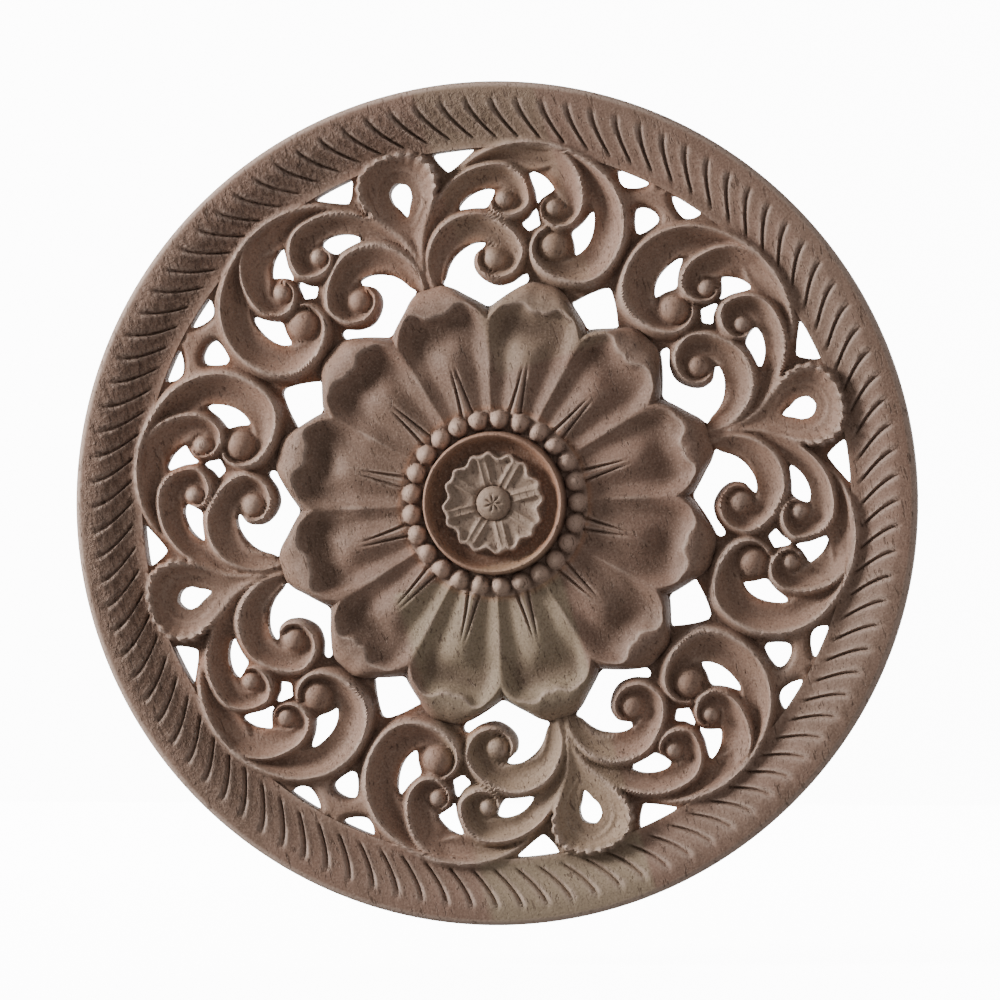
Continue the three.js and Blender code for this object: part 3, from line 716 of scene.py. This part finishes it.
def zipped(inner_sides, outer_sides, inner_start, outer_start):
    """Triangles between two rings. Each side of a ring meets the point of the other ring that has
    as many of that ring's side middles behind it."""
    i, o = np.arange(inner_sides), np.arange(outer_sides)
    inner_mid, outer_mid = (i + 0.5) / inner_sides, (o + 0.5) / outer_sides
    meets_outer = np.searchsorted(outer_mid, inner_mid, "left")
    meets_inner = np.searchsorted(inner_mid, outer_mid, "right")
    first = np.stack((inner_start + i, outer_start + meets_outer % outer_sides,
                      inner_start + (i + 1) % inner_sides), 1)
    second = np.stack((outer_start + o, outer_start + (o + 1) % outer_sides,
                       inner_start + meets_inner % inner_sides), 1)
    return np.concatenate((first, second))


def heights_at(x, y, column, zone, lift, sizes):
    """Height at every point, each from the function of its zone, or the fixed height given."""
    height = np.zeros(x.shape)
    for number, heights in ((CENTRE, centre_heights), (FLOWER, flower_heights), (BAND, soft_band)):
        pick = zone == number
        height[pick] = heights(x[pick], y[pick], sizes)
    pick = zone == RIM
    height[pick] = rim_heights(x[pick], y[pick], column[pick], sizes)
    return np.where(np.isnan(lift), height, lift)


def zipped_rings():
    """The points of all rings and of the middle, as rows of plan x and y, column, zone and lift in a
    ring's order, and the triangles between them."""
    made = rings()
    rows = [np.concatenate([ring[key] for ring in made]) for key in made[0]]
    sides = [len(ring["x"]) for ring in made]
    starts = np.concatenate(((0,), np.cumsum(sides)))
    strips = [zipped(sides[k], sides[k + 1], starts[k], starts[k + 1]) for k in range(len(made) - 1)]
    first = np.arange(sides[0])
    strips.append(np.stack((np.full(sides[0], starts[-1]), first, (first + 1) % sides[0]), 1))
    middle = (0.0, 0.0, 0, CENTRE, np.nan)
    return [np.append(row, value) for row, value in zip(rows, middle)], np.concatenate(strips)


def snapped(x, y, zone, sizes):
    """Plan x and y with the band's points that lie near a crest or near an opening's outline moved
    onto it in the half quarter's drawing and turned back to their own quarter. Points on the
    flower's outline and the rim's inner edge stay. Also returns how deep each point then lies in an
    opening, 0 on its outline."""
    band = np.flatnonzero((zone == BAND) | ((zone == RIM) & (np.hypot(x, y) < CRESTS_END)))
    radius, turn = np.hypot(x[band], y[band]), bearing(x[band], y[band])
    free = (np.abs(radius - RIM_INNER) > 1.0) & (radius > petal_outline(turn) + 1.0)
    u, v = folded(x[band], y[band])
    reached, to_crest = band_heights(x[band], y[band], sizes)
    high = (zone[band] == BAND) | (reached > BACK_HEIGHT)
    short = free & high & (np.hypot(*to_crest.T) < CREST_SNAP)
    u, v = u + np.where(short, to_crest[:, 0], 0), v + np.where(short, to_crest[:, 1], 0)
    depth, near = depth_in_holes(u, v)
    pierced = free & (radius < RIM_INNER)
    depth = np.where(pierced, depth, np.minimum(depth, -0.5))
    snap = pierced & (np.abs(depth) < HOLE_SNAP)
    u, v = np.where(snap, near[:, 0], u), np.where(snap, near[:, 1], v)
    quarter = np.floor((turn - GROUP_TURN) / QUARTER)
    side = np.where(np.mod(turn - GROUP_TURN, QUARTER) <= QUARTER / 2, 1, -1)
    axis = np.radians(GROUP_TURN + QUARTER * (quarter + (side < 0)))
    new_turn, reach, moved = axis + side * np.arctan2(u, v), np.hypot(u, v), short | snap
    x[band] = np.where(moved, reach * np.cos(new_turn), x[band])
    y[band] = np.where(moved, reach * np.sin(new_turn), y[band])
    inside = np.full(len(x), FAR_FROM_HOLES)
    inside[band] = np.where(snap, 0.0, depth)
    return x, y, inside


def cut_at_holes(rows, faces, inside):
    """Rows and triangles cut along the openings' outlines. In a triangle that crosses an outline,
    the corner that is alone on its side comes first, and the new points lie where the depth is 0 on
    the two sides from it. What lies in the opening is dropped."""
    signs = inside[faces] > 0
    whole = faces[~signs.any(1)]
    crossing = signs.any(1) & (inside[faces] < 0).any(1)
    cut, flags = faces[crossing], signs[crossing]
    alone = np.where(flags.sum(1) == 1, flags.argmax(1), flags.argmin(1))
    cut = np.take_along_axis(cut, (alone[:, None] + np.arange(3)) % 3, 1)
    one_in = inside[cut[:, 0]] > 0
    corner, other = np.tile(cut[:, 0], 2), cut[:, 1:].T.ravel()
    lone = inside[corner] > 0
    kept, lost = np.where(lone, other, corner), np.where(lone, corner, other)
    on_line = inside[kept] == 0
    count = len(inside)
    unique, place = np.unique((kept.astype(np.int64) * count + lost)[~on_line], return_inverse=True)
    kept_end, lost_end = unique // count, unique % count
    made_at = np.where(on_line, kept, 0)
    made_at[~on_line] = count + place
    first, second = made_at.reshape(2, -1)
    share = inside[kept_end] / (inside[kept_end] - inside[lost_end])
    x, y = (np.append(row, mix(row[kept_end], row[lost_end], share)) for row in rows[:2])
    rest = (np.append(row, row[kept_end]) for row in rows[2:])
    faces = np.concatenate((
        whole,
        np.stack((cut[:, 0], first, second), 1)[~one_in],
        np.stack((first, cut[:, 1], cut[:, 2]), 1)[one_in],
        np.stack((first, cut[:, 2], second), 1)[one_in],
    ))
    return (x, y, *rest), faces[(faces != np.roll(faces, -1, 1)).all(1)]


def carved_surface(sizes):
    """Points, heights and triangles of the carved front and the outer wall: the rings are zipped
    together, points near a crest or an opening's outline are moved onto it, and the triangles are
    cut along the openings."""
    (x, y, *rest), faces = zipped_rings()
    x, y, inside = snapped(x, y, rest[1], sizes)
    rows, faces = cut_at_holes((x, y, *rest), faces, inside)
    return rows[0], rows[1], heights_at(*rows, sizes), faces


def triangle_sides(faces):
    """The three directed sides of every triangle."""
    return np.concatenate((faces[:, [0, 1]], faces[:, [1, 2]], faces[:, [2, 0]]))


def numbered(sides, count):
    """One number for each directed side."""
    return sides[:, 0].astype(np.int64) * count + sides[:, 1]


def open_sides(faces, count):
    """The sides that only one triangle has, in that triangle's direction."""
    sides = triangle_sides(faces)
    return sides[~np.isin(numbered(sides, count), numbered(sides[:, ::-1], count))]


def in_wood(triangles, sides, x, y):
    """Which of the triangles spanned between outlines are wood. One that has an outline's side is
    wood where it lies to the left of that side; any other goes by the depth of its middle."""
    wood = numbered(sides, len(x))
    turned = numbered(sides[:, ::-1], len(x))
    middle_x, middle_y = x[triangles].mean(1), y[triangles].mean(1)
    keep = depth_in_holes(*folded(middle_x, middle_y))[0] < 0
    for key in numbered(triangle_sides(triangles), len(x)).reshape(3, -1):
        keep = (keep | np.isin(key, wood)) & ~np.isin(key, turned)
    return keep


def applique_mesh(sizes):
    """The whole closed surface: the carved front, a straight wall down every opening and the flat
    back, whose triangles span the outlines that the walls end on."""
    x, y, height, faces = carved_surface(sizes)
    count = len(x)
    sides = open_sides(faces, count)
    rim_side = (height[sides] < 0.01).all(1)
    hole_sides, disc_sides = sides[~rim_side], sides[rim_side]
    edge = np.unique(hole_sides)
    below = np.full(count, -1)
    below[edge] = count + np.arange(len(edge))
    x, y, height = np.append(x, x[edge]), np.append(y, y[edge]), np.append(height, np.zeros(len(edge)))
    a, b = hole_sides.T
    walls = np.concatenate((np.stack((b, a, below[a]), 1), np.stack((b, below[a], below[b]), 1)))
    flat_sides = np.concatenate((below[hole_sides], disc_sides))
    flat, place = np.unique(flat_sides, return_inverse=True)
    place = place.reshape(flat_sides.shape)
    plan = [Vector(pair) for pair in zip(x[flat].tolist(), y[flat].tolist())]
    spanned = flat[np.array(delaunay_2d_cdt(plan, place.tolist(), [], 1, 1e-7)[2])]
    back = spanned[in_wood(spanned, flat_sides, x, y)][:, ::-1]
    faces = np.concatenate((faces, walls, back))
    used, place = np.unique(faces, return_inverse=True)
    faces = place.reshape(faces.shape)
    scale = (NODE_HIGH[0] - NODE_LOW[0]) / 2 / DRAWN_RADIUS
    points = np.stack((x[used] * scale, -height[used] * MM, y[used] * scale), 1)
    return points, faces


class Nodes:
    """A material's node tree, with one method that adds any node."""

    def __init__(self, tree):
        self.tree = tree

    def add(self, kind, settings=None, **sockets):
        """Adds a node of a kind, sets its settings, then its sockets by name or S plus a number."""
        node = self.tree.nodes.new(kind)
        for name, value in (settings or {}).items():
            setattr(node, name, value)
        for name, value in sockets.items():
            number = name[1:].isdigit() and name[0] == "S"
            target = node.inputs[int(name[1:]) if number else name.replace("_", " ")]
            if isinstance(value, Value):
                self.tree.links.new(value.socket, target)
            else:
                target.default_value = value
        return node

    def value(self, kind, settings=None, output=0, **sockets):
        """The wrapped output of a new node."""
        return Value(self, self.add(kind, settings, **sockets).outputs[output])


class Value:
    """A socket that takes part in sums: each operator adds the Math node it stands for."""

    def __init__(self, nodes, socket):
        self.nodes = nodes
        self.socket = socket

    def _math(self, operation, first, second=0.0, clamp=False):
        settings = {"operation": operation, "use_clamp": clamp}
        return self.nodes.value("ShaderNodeMath", settings, S0=first, S1=second)

    def __add__(self, other):
        return self._math("ADD", self, other)

    __radd__ = __add__

    def __sub__(self, other):
        return self._math("SUBTRACT", self, other)

    def __rsub__(self, other):
        return self._math("SUBTRACT", other, self)

    def __mul__(self, other):
        return self._math("MULTIPLY", self, other)

    __rmul__ = __mul__

    def __pow__(self, other):
        return self._math("POWER", self, other)

    def sine(self):
        return self._math("SINE", self)

    def clamped(self):
        return self._math("ADD", self, 0.0, clamp=True)

    def between(self, low, high):
        """0 at low and 1 at high, smoothly between and held outside."""
        settings = {"interpolation_type": "SMOOTHSTEP"}
        return self.nodes.value("ShaderNodeMapRange", settings, Value=self, From_Min=low, From_Max=high)


def layered(nodes, colour, layers):
    """Colour with more colours laid over it in turn, each by its share."""
    for share, over in layers:
        under = colour if isinstance(colour, Value) else (*colour, 1)
        colour = nodes.value("ShaderNodeMix", {"data_type": "RGBA"}, output=2, S0=share, S6=under,
                             S7=(*over, 1))
    return colour


def wood_material(look):
    """Bare taupe hardwood glued from blocks: tone changes block by block, long grain, short dark
    pores along it, a rust tint at pierced edges and fine tool steps in the bump. Painted light
    too: painted shade in hollows and on the rim's upper-left side, a painted highlight with wear
    on the crests, a painted reflection on the outer edge, and painted fill light on the beads and
    their bed."""
    material = bpy.data.materials.new("bare_wood")
    material.use_nodes = True
    nodes = Nodes(material.node_tree)
    material.node_tree.nodes.clear()
    place = nodes.value("ShaderNodeTexCoord", output=3)
    grain_turn = math.radians(look.grain_angle - 90)
    grained = nodes.value("ShaderNodeMapping", Vector=place, Rotation=(0.0, grain_turn, 0.0))
    streaked = nodes.value("ShaderNodeMapping", Vector=grained, Scale=(1.0, 1.0, 0.09))
    stretched = nodes.value("ShaderNodeMapping", Vector=grained, Scale=(1.0, 1.0, 0.22))
    parts = nodes.add("ShaderNodeSeparateXYZ", Vector=grained)
    across = Value(nodes, parts.outputs[0])
    upward = Value(nodes, parts.outputs[2])

    def noise(vector, scale, detail=3.0, roughness=0.55):
        settings = {"noise_dimensions": "3D"}
        return nodes.value("ShaderNodeTexNoise", settings, Vector=vector, Scale=scale, Detail=detail,
                           Roughness=roughness)

    grain = noise(streaked, 330.0, 4.0, 0.6)
    drift = noise(streaked, 60.0, 3.0)
    cloud = noise(place, 26.0, 3.0)
    speck = noise(place, 1500.0, 2.0, 0.6)
    pores = noise(stretched, 1150.0, 2.0, 0.5).between(0.60, 0.68)
    pore_field = noise(place, 160.0, 2.0).between(0.35, 0.62)
    pores = pores * pore_field
    where = nodes.add("ShaderNodeSeparateXYZ", Vector=place)
    right, height = Value(nodes, where.outputs[0]), Value(nodes, where.outputs[2])
    reach = (right * right + height * height) ** 0.5

    def belt(start, full, fade, end):
        """1 between two distances from the middle, and fading in and out."""
        return reach.between(start, full) * (1 - reach.between(fade, end))

    nest, ring, beads = belt(*NEST_BELT), belt(*RING_BELT), belt(*BEADS_BELT)
    band = belt(*BAND_BELT)
    # Painted shade: the rim's upper-left side, whose slope faces away from the key light, is darkened.
    shaded_rim_side = (height * 0.4 - right).between(0.005, 0.09) * belt(*SHADED_RIM_BELT)
    heart = 1 - reach.between(*HEART_EDGE)
    # Painted reflection: the outer edge is paled as if lit by the white surroundings.
    outer_edge = reach.between(*OUTER_EDGE)
    chatter = noise(place, 700.0, 3.0, 0.7).between(0.42, 0.62) * shaded_rim_side
    # Dark flecks within the painted shade on the rim's upper-left side.
    flecks = noise(stretched, 1000.0, 2.0, 0.6).between(0.50, 0.57) * shaded_rim_side

    block = (across + drift * 0.004).between(-0.036, -0.032) * (1 - across.between(0.0115, 0.0135))
    block = block * (1 - upward.between(-0.018, -0.0165))
    green = (across - 0.012).between(-0.0015, 0.0015) * (1 - across.between(0.046, 0.048))
    green = green * upward.between(0.035, 0.037)

    hollow, crest, brink = (nodes.value("ShaderNodeAttribute", {"attribute_name": name}, output=2)
                            for name in ("hollow", "crest", "brink"))

    tone = (grain * 0.55 + drift * 0.45).between(0.34, 0.66)
    # Painted highlight with wear on the crests, less on the thin ring, and the painted reflection on
    # the outer edge.
    painted_sheen_and_wear = crest * (0.8 - ring * 0.5) + outer_edge * 0.7
    colour = layered(nodes, look.dark, (
        (tone, look.mid),
        (cloud.between(0.38, 0.66) * 0.45, look.red),
        (block * 0.75, look.olive),
        (green * 0.35, look.olive),
        # Painted shade on the rim's upper-left side, broken by the chatter.
        ((1 - chatter * 0.7) * shaded_rim_side * 0.25, look.dark),
        (heart * 0.7, look.grey),
        # Lighter warm scroll band, warm bed and pale beads; on the bed and beads this is also painted
        # fill light in the shade of the ring and the beads.
        ((nest * 0.36 + band * 0.13).clamped(), look.warm),
        ((beads * 0.64 + band * 0.11).clamped(), look.pale),
        (painted_sheen_and_wear.clamped(), look.pale),
        # Painted shade: points sunk below the wider surface are darkened.
        (hollow * 0.6, look.deep),
        (brink * cloud.between(0.42, 0.6) * 0.6, look.rust),
        # Dark pores, and the dark flecks of the painted shade on the rim.
        ((pores * 0.62 + flecks * 0.55).clamped(), look.deep),
        (speck.between(0.50, 0.72) * 0.22, look.pale),
        ((1 - speck.between(0.30, 0.48)) * 0.4, look.deep),
    ))

    nick = (across * (2 * math.pi / look.tool_step)).sine() * crest
    relief = grain * 0.22 + speck * 0.6 + nick * 0.09 + chatter * 0.9 - pores * 0.9
    bump = nodes.value("ShaderNodeBump", Strength=0.8, Distance=0.0003, Height=relief)
    shine = 0.62 + grain * 0.12 + hollow * 0.08 - crest * 0.08
    surface = nodes.add("ShaderNodeBsdfPrincipled", Base_Color=colour, Roughness=shine, Normal=bump)
    surface.inputs["Specular IOR Level"].default_value = 0.32
    output = nodes.add("ShaderNodeOutputMaterial")
    nodes.tree.links.new(surface.outputs[0], output.inputs[0])
    return material


def plain_material(name, colour, glow):
    """An even matt surface with a little light of its own."""
    material = bpy.data.materials.new(name)
    material.use_nodes = True
    surface = material.node_tree.nodes["Principled BSDF"]
    surface.inputs["Base Color"].default_value = (*colour, 1)
    surface.inputs["Roughness"].default_value = 0.9
    surface.inputs["Emission Color"].default_value = (*colour, 1)
    surface.inputs["Emission Strength"].default_value = glow
    return material


def mesh_object(name, points, faces, material):
    """A mesh object at the origin from arrays of points and triangles."""
    mesh = bpy.data.meshes.new(name)
    mesh.vertices.add(len(points))
    mesh.vertices.foreach_set("co", points.astype(np.float32).ravel())
    mesh.loops.add(faces.size)
    mesh.loops.foreach_set("vertex_index", faces.astype(np.int32).ravel())
    mesh.polygons.add(len(faces))
    mesh.polygons.foreach_set("loop_start", np.arange(0, faces.size, faces.shape[1], dtype=np.int32))
    mesh.update(calc_edges=True)
    mesh.validate()
    mesh.polygons.foreach_set("use_smooth", np.full(len(mesh.polygons), True))
    mesh.materials.append(material)
    piece = bpy.data.objects.new(name, mesh)
    bpy.context.scene.collection.objects.link(piece)
    return piece


def in_mm(group):
    """A group's lengths in millimetres, by name."""
    lengths = {name: getattr(group, name) for name in group.bl_rna.properties.keys()}
    return SimpleNamespace(**{k: v / MM for k, v in lengths.items() if isinstance(v, float)})


def surface_marks(points, faces):
    """Per-point shares for the colour: crest where the surface is sharply raised over its
    neighbours, for a painted highlight with wear, hollow where it is sunk below the wider surface,
    for painted shade, brink near an opening's edge."""
    count = len(points)
    front = points[:, 1] < -0.0005
    sides = triangle_sides(faces)
    sides = sides[front[sides].all(1)]
    sides = np.concatenate((sides, sides[:, ::-1]))
    number = np.maximum(np.bincount(sides[:, 0], minlength=count), 1)

    def relaxed(values, times):
        """Values averaged with those of the neighbouring points, a number of times."""
        for _ in range(times):
            values = (values + np.bincount(sides[:, 0], values[sides[:, 1]], count) / number) / 2
        return values

    height = -points[:, 1] / MM
    near, wide = relaxed(height, 3), relaxed(height, 60)
    crest = smooth(0.10, 0.42, height - near)
    hollow = smooth(0.25, 1.5, wide - height)
    wall = np.zeros(count)
    back = points[:, 1] > -0.0001
    steep = faces[back[faces].any(1) & ~back[faces].all(1)]
    wall[np.unique(steep)] = 1.0
    wall[np.hypot(points[:, 0], points[:, 2]) > 0.108] = 0.0
    brink = held(relaxed(wall, 10) * 3.2)
    hollow[~front] = 0.0
    return {"crest": relaxed(crest, 1), "hollow": relaxed(hollow, 2), "brink": brink}


def length(name, description, millimetres):
    """A length property with its default given in millimetres."""
    return FloatProperty(name=name, description=description, default=millimetres * MM, unit="LENGTH",
                         precision=4)


def tint(name, description, *colour):
    """A colour property with its default given as red, green and blue."""
    return FloatVectorProperty(name=name, description=description, default=colour, subtype="COLOR",
                               min=0, max=1)


class AppliqueSizes(PropertyGroup):
    """Heights of the carving above its flat back."""

    crest_height: length("Scroll crest", "Height of the scrolls' crests", 11.4)
    cove_height: length("Scroll cove", "Height of the scrolls' hollows", 6.7)
    edge_height: length("Pierced edge", "Height where a form meets an opening", 7.2)
    lip_rise: length("Cove lip", "Rise of the cove to its inner edge", 0.7)
    eye_height: length("Eye", "Height of the balls in the scrolls", 10.7)
    ground_height: length("Ground", "Height of the ground between forms", 6.2)
    link_height: length("Link", "Height of the links' ridges", 8.8)
    palmette_height: length("Palmette", "Height of the palmettes' lips", 12.9)
    rim_height: length("Rim", "Height of the rim's flat land", 12.6)
    rim_inner_height: length("Rim inside", "Height of the rim's inner edge", 9.0)
    edge_round: length("Rim round", "Drop of the rim's rounded outer edge", 2.6)
    groove_depth: length("Groove depth", "Depth of the rim's grooves", 1.45)
    petal_floor: length("Petal floor", "Height of the petals' hollows", 10.3)
    petal_lip: length("Petal lip", "Height of the petals' folded tips", 13.3)
    petal_edge: length("Petal edge", "Height of the flower's outline", 8.0)
    vein_depth: length("Vein depth", "Depth of the cuts in each midrib", 1.55)
    bead_bed: length("Bead bed", "Height of the floor under the beads", 9.7)
    bead_height: length("Bead", "Height of the beads", 15.0)
    well_height: length("Well", "Height of the floor inside the ring", 12.9)
    ring_height: length("Ring", "Height of the thin ring", (NODE_HIGH[1] - NODE_LOW[1]) / MM)
    rosette_height: length("Rosette", "Height of the rosette's lip", 15.5)
    dome_height: length("Dome", "Height of the dome in the rosette", 16.6)


class WoodLook(PropertyGroup):
    """Colours and grain of the wood."""

    mid: tint("Wood", "Main taupe of the wood", 0.218, 0.136, 0.098)
    # Also the painted shade on the rim's upper-left side.
    dark: tint("Grain", "Darker streaks of the grain", 0.150, 0.091, 0.062)
    red: tint("Red block", "Redder patches", 0.222, 0.124, 0.088)
    olive: tint("Olive block", "Tan block let into the board", 0.250, 0.192, 0.125)
    # Also the painted highlight on the crests, the painted reflection on the outer edge and the painted
    # fill light on the beads.
    pale: tint("Crest", "Pale worn crests", 0.460, 0.335, 0.270)
    # Also the painted shade in hollows and the dark flecks of the rim's painted shade.
    deep: tint("Hollow", "Dark wood in hollows and pores", 0.066, 0.034, 0.020)
    grey: tint("Rosette", "Greenish grey of the rosette", 0.300, 0.218, 0.160)
    # Also painted fill light on the bed among the beads.
    warm: tint("Warm", "Warm tone of the scrolls and the beads' bed", 0.420, 0.190, 0.095)
    rust: tint("Rust", "Orange tint at pierced edges", 0.270, 0.105, 0.048)
    grain_angle: FloatProperty(name="Grain angle", description="Direction of the grain in degrees",
                               default=107.0)
    tool_step: length("Tool step", "Distance between tool passes", 1.3)


class StageLook(PropertyGroup):
    """Camera, floor and lights."""

    distance: FloatProperty(name="Camera distance", description="From the camera to the disc",
                            default=2.0, unit="LENGTH")
    azimuth: FloatProperty(name="Camera azimuth", description="Degrees to the right of the front",
                           default=5.0)
    field: FloatProperty(name="Field", description="Width seen at the disc", default=0.2975,
                         unit="LENGTH", precision=4)
    aside: length("Camera aside", "Shift of the camera to its right", 0.70)
    raised: length("Camera raised", "Shift of the camera upward", 0.94)
    key_power: FloatProperty(name="Key light", description="Power of the key light", default=34.0)
    fill_strength: FloatProperty(name="Fill light", description="Strength of the white surroundings",
                                 default=0.42)


class OBJECT_OT_carve_applique(Operator):
    """Builds the carved applique in place of its solid"""

    bl_idname = "object.carve_applique"
    bl_label = "Carve Applique"

    def execute(self, context):
        scene = context.scene
        points, faces = applique_mesh(in_mm(scene.applique_sizes))
        piece = mesh_object("applique_carving", points, faces, wood_material(scene.applique_wood))
        for name, values in surface_marks(points, faces).items():
            mark = piece.data.attributes.new(name, "FLOAT", "POINT")
            mark.data.foreach_set("value", values.astype(np.float32))
        piece.data.set_sharp_from_angle(angle=math.radians(SHARP_ANGLE))
        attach(piece, "root")
        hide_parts(NODE)
        return {"FINISHED"}


class OBJECT_OT_set_applique_stage(Operator):
    """Sets the pale floor and backdrop, the soft lights and the camera"""

    bl_idname = "object.set_applique_stage"
    bl_label = "Set Stage"

    def execute(self, context):
        scene = context.scene
        look = scene.applique_stage
        self.sweep()
        self.lights(scene, look)
        self.camera(scene, look)
        return {"FINISHED"}

    def sweep(self):
        """Floor and backdrop in one sheet: flat, then a quarter circle, then upright. It glows white
        to the camera and leaves the light on the disc to the lamps and the surroundings."""
        turn = np.linspace(0, math.pi / 2, 17)
        bend, reach, back, low = 0.25, 2.4, 0.75, NODE_LOW[2] - 0.012
        depth = np.concatenate(((-reach,), back - bend + bend * np.sin(turn), (back,)))
        level = np.concatenate(((low,), low + bend * (1 - np.cos(turn)), (low + reach,)))
        across = np.array((-reach, reach))
        points = np.stack((np.tile(across, len(depth)), np.repeat(depth, 2), np.repeat(level, 2)), 1)
        row = np.arange(len(depth) - 1) * 2
        faces = np.stack((row, row + 1, row + 3, row + 2), 1)
        paper = plain_material("pale_paper", (0.95, 0.95, 0.95), 12.0)
        sheet = mesh_object("backdrop", points, faces, paper)
        sheet.visible_diffuse = False
        sheet.visible_glossy = False

    def lights(self, scene, look):
        """The square lamps, each turned to the disc's middle, and white surroundings."""
        for name, place, size, share in LAMPS:
            lamp = bpy.data.lights.new(name, "AREA")
            lamp.size = size
            lamp.energy = look.key_power * share
            holder = bpy.data.objects.new(name, lamp)
            holder.location = place
            holder.rotation_euler = (-Vector(place)).to_track_quat("-Z", "Y").to_euler()
            holder.visible_camera = False
            scene.collection.objects.link(holder)
        world = bpy.data.worlds.new("soft_white")
        world.use_nodes = True
        world.node_tree.nodes["Background"].inputs["Color"].default_value = (1, 1, 1, 1)
        world.node_tree.nodes["Background"].inputs["Strength"].default_value = look.fill_strength
        scene.world = world

    def camera(self, scene, look):
        """Looks at the disc's middle from its front right, level with it."""
        turn = math.radians(look.azimuth)
        camera = bpy.data.cameras.new("camera")
        camera.sensor_width = 36.0
        camera.lens = 36.0 * look.distance / look.field
        holder = bpy.data.objects.new("camera", camera)
        holder.location = (look.distance * math.sin(turn), -look.distance * math.cos(turn), 0)
        across = Vector((math.cos(turn), math.sin(turn), 0))
        holder.location += look.aside * across + Vector((0, 0, look.raised))
        holder.rotation_euler = (math.pi / 2, 0, turn)
        scene.collection.objects.link(holder)
        scene.camera = holder


class VIEW3D_PT_applique(Panel):
    """Sizes, looks and the two steps in order"""

    bl_label = "Applique"
    bl_space_type = "VIEW_3D"
    bl_region_type = "UI"
    bl_category = "Applique"

    def draw(self, context):
        scene = context.scene
        for title, group in (("Sizes", scene.applique_sizes), ("Wood", scene.applique_wood),
                             ("Stage", scene.applique_stage)):
            box = self.layout.box()
            box.label(text=title)
            for name in group.bl_rna.properties.keys():
                if name not in {"rna_type", "name"}:
                    box.prop(group, name)
        self.layout.operator(OBJECT_OT_carve_applique.bl_idname)
        self.layout.operator(OBJECT_OT_set_applique_stage.bl_idname)


CLASSES = (
    AppliqueSizes,
    WoodLook,
    StageLook,
    OBJECT_OT_carve_applique,
    OBJECT_OT_set_applique_stage,
    VIEW3D_PT_applique,
)


def register():
    for each in CLASSES:
        bpy.utils.register_class(each)
    bpy.types.Scene.applique_sizes = PointerProperty(type=AppliqueSizes)
    bpy.types.Scene.applique_wood = PointerProperty(type=WoodLook)
    bpy.types.Scene.applique_stage = PointerProperty(type=StageLook)


def unregister():
    del bpy.types.Scene.applique_stage
    del bpy.types.Scene.applique_wood
    del bpy.types.Scene.applique_sizes
    for each in reversed(CLASSES):
        bpy.utils.unregister_class(each)


def main():
    register()
    bpy.ops.object.carve_applique()
    bpy.ops.object.set_applique_stage()


if __name__ == "__main__":
    main()
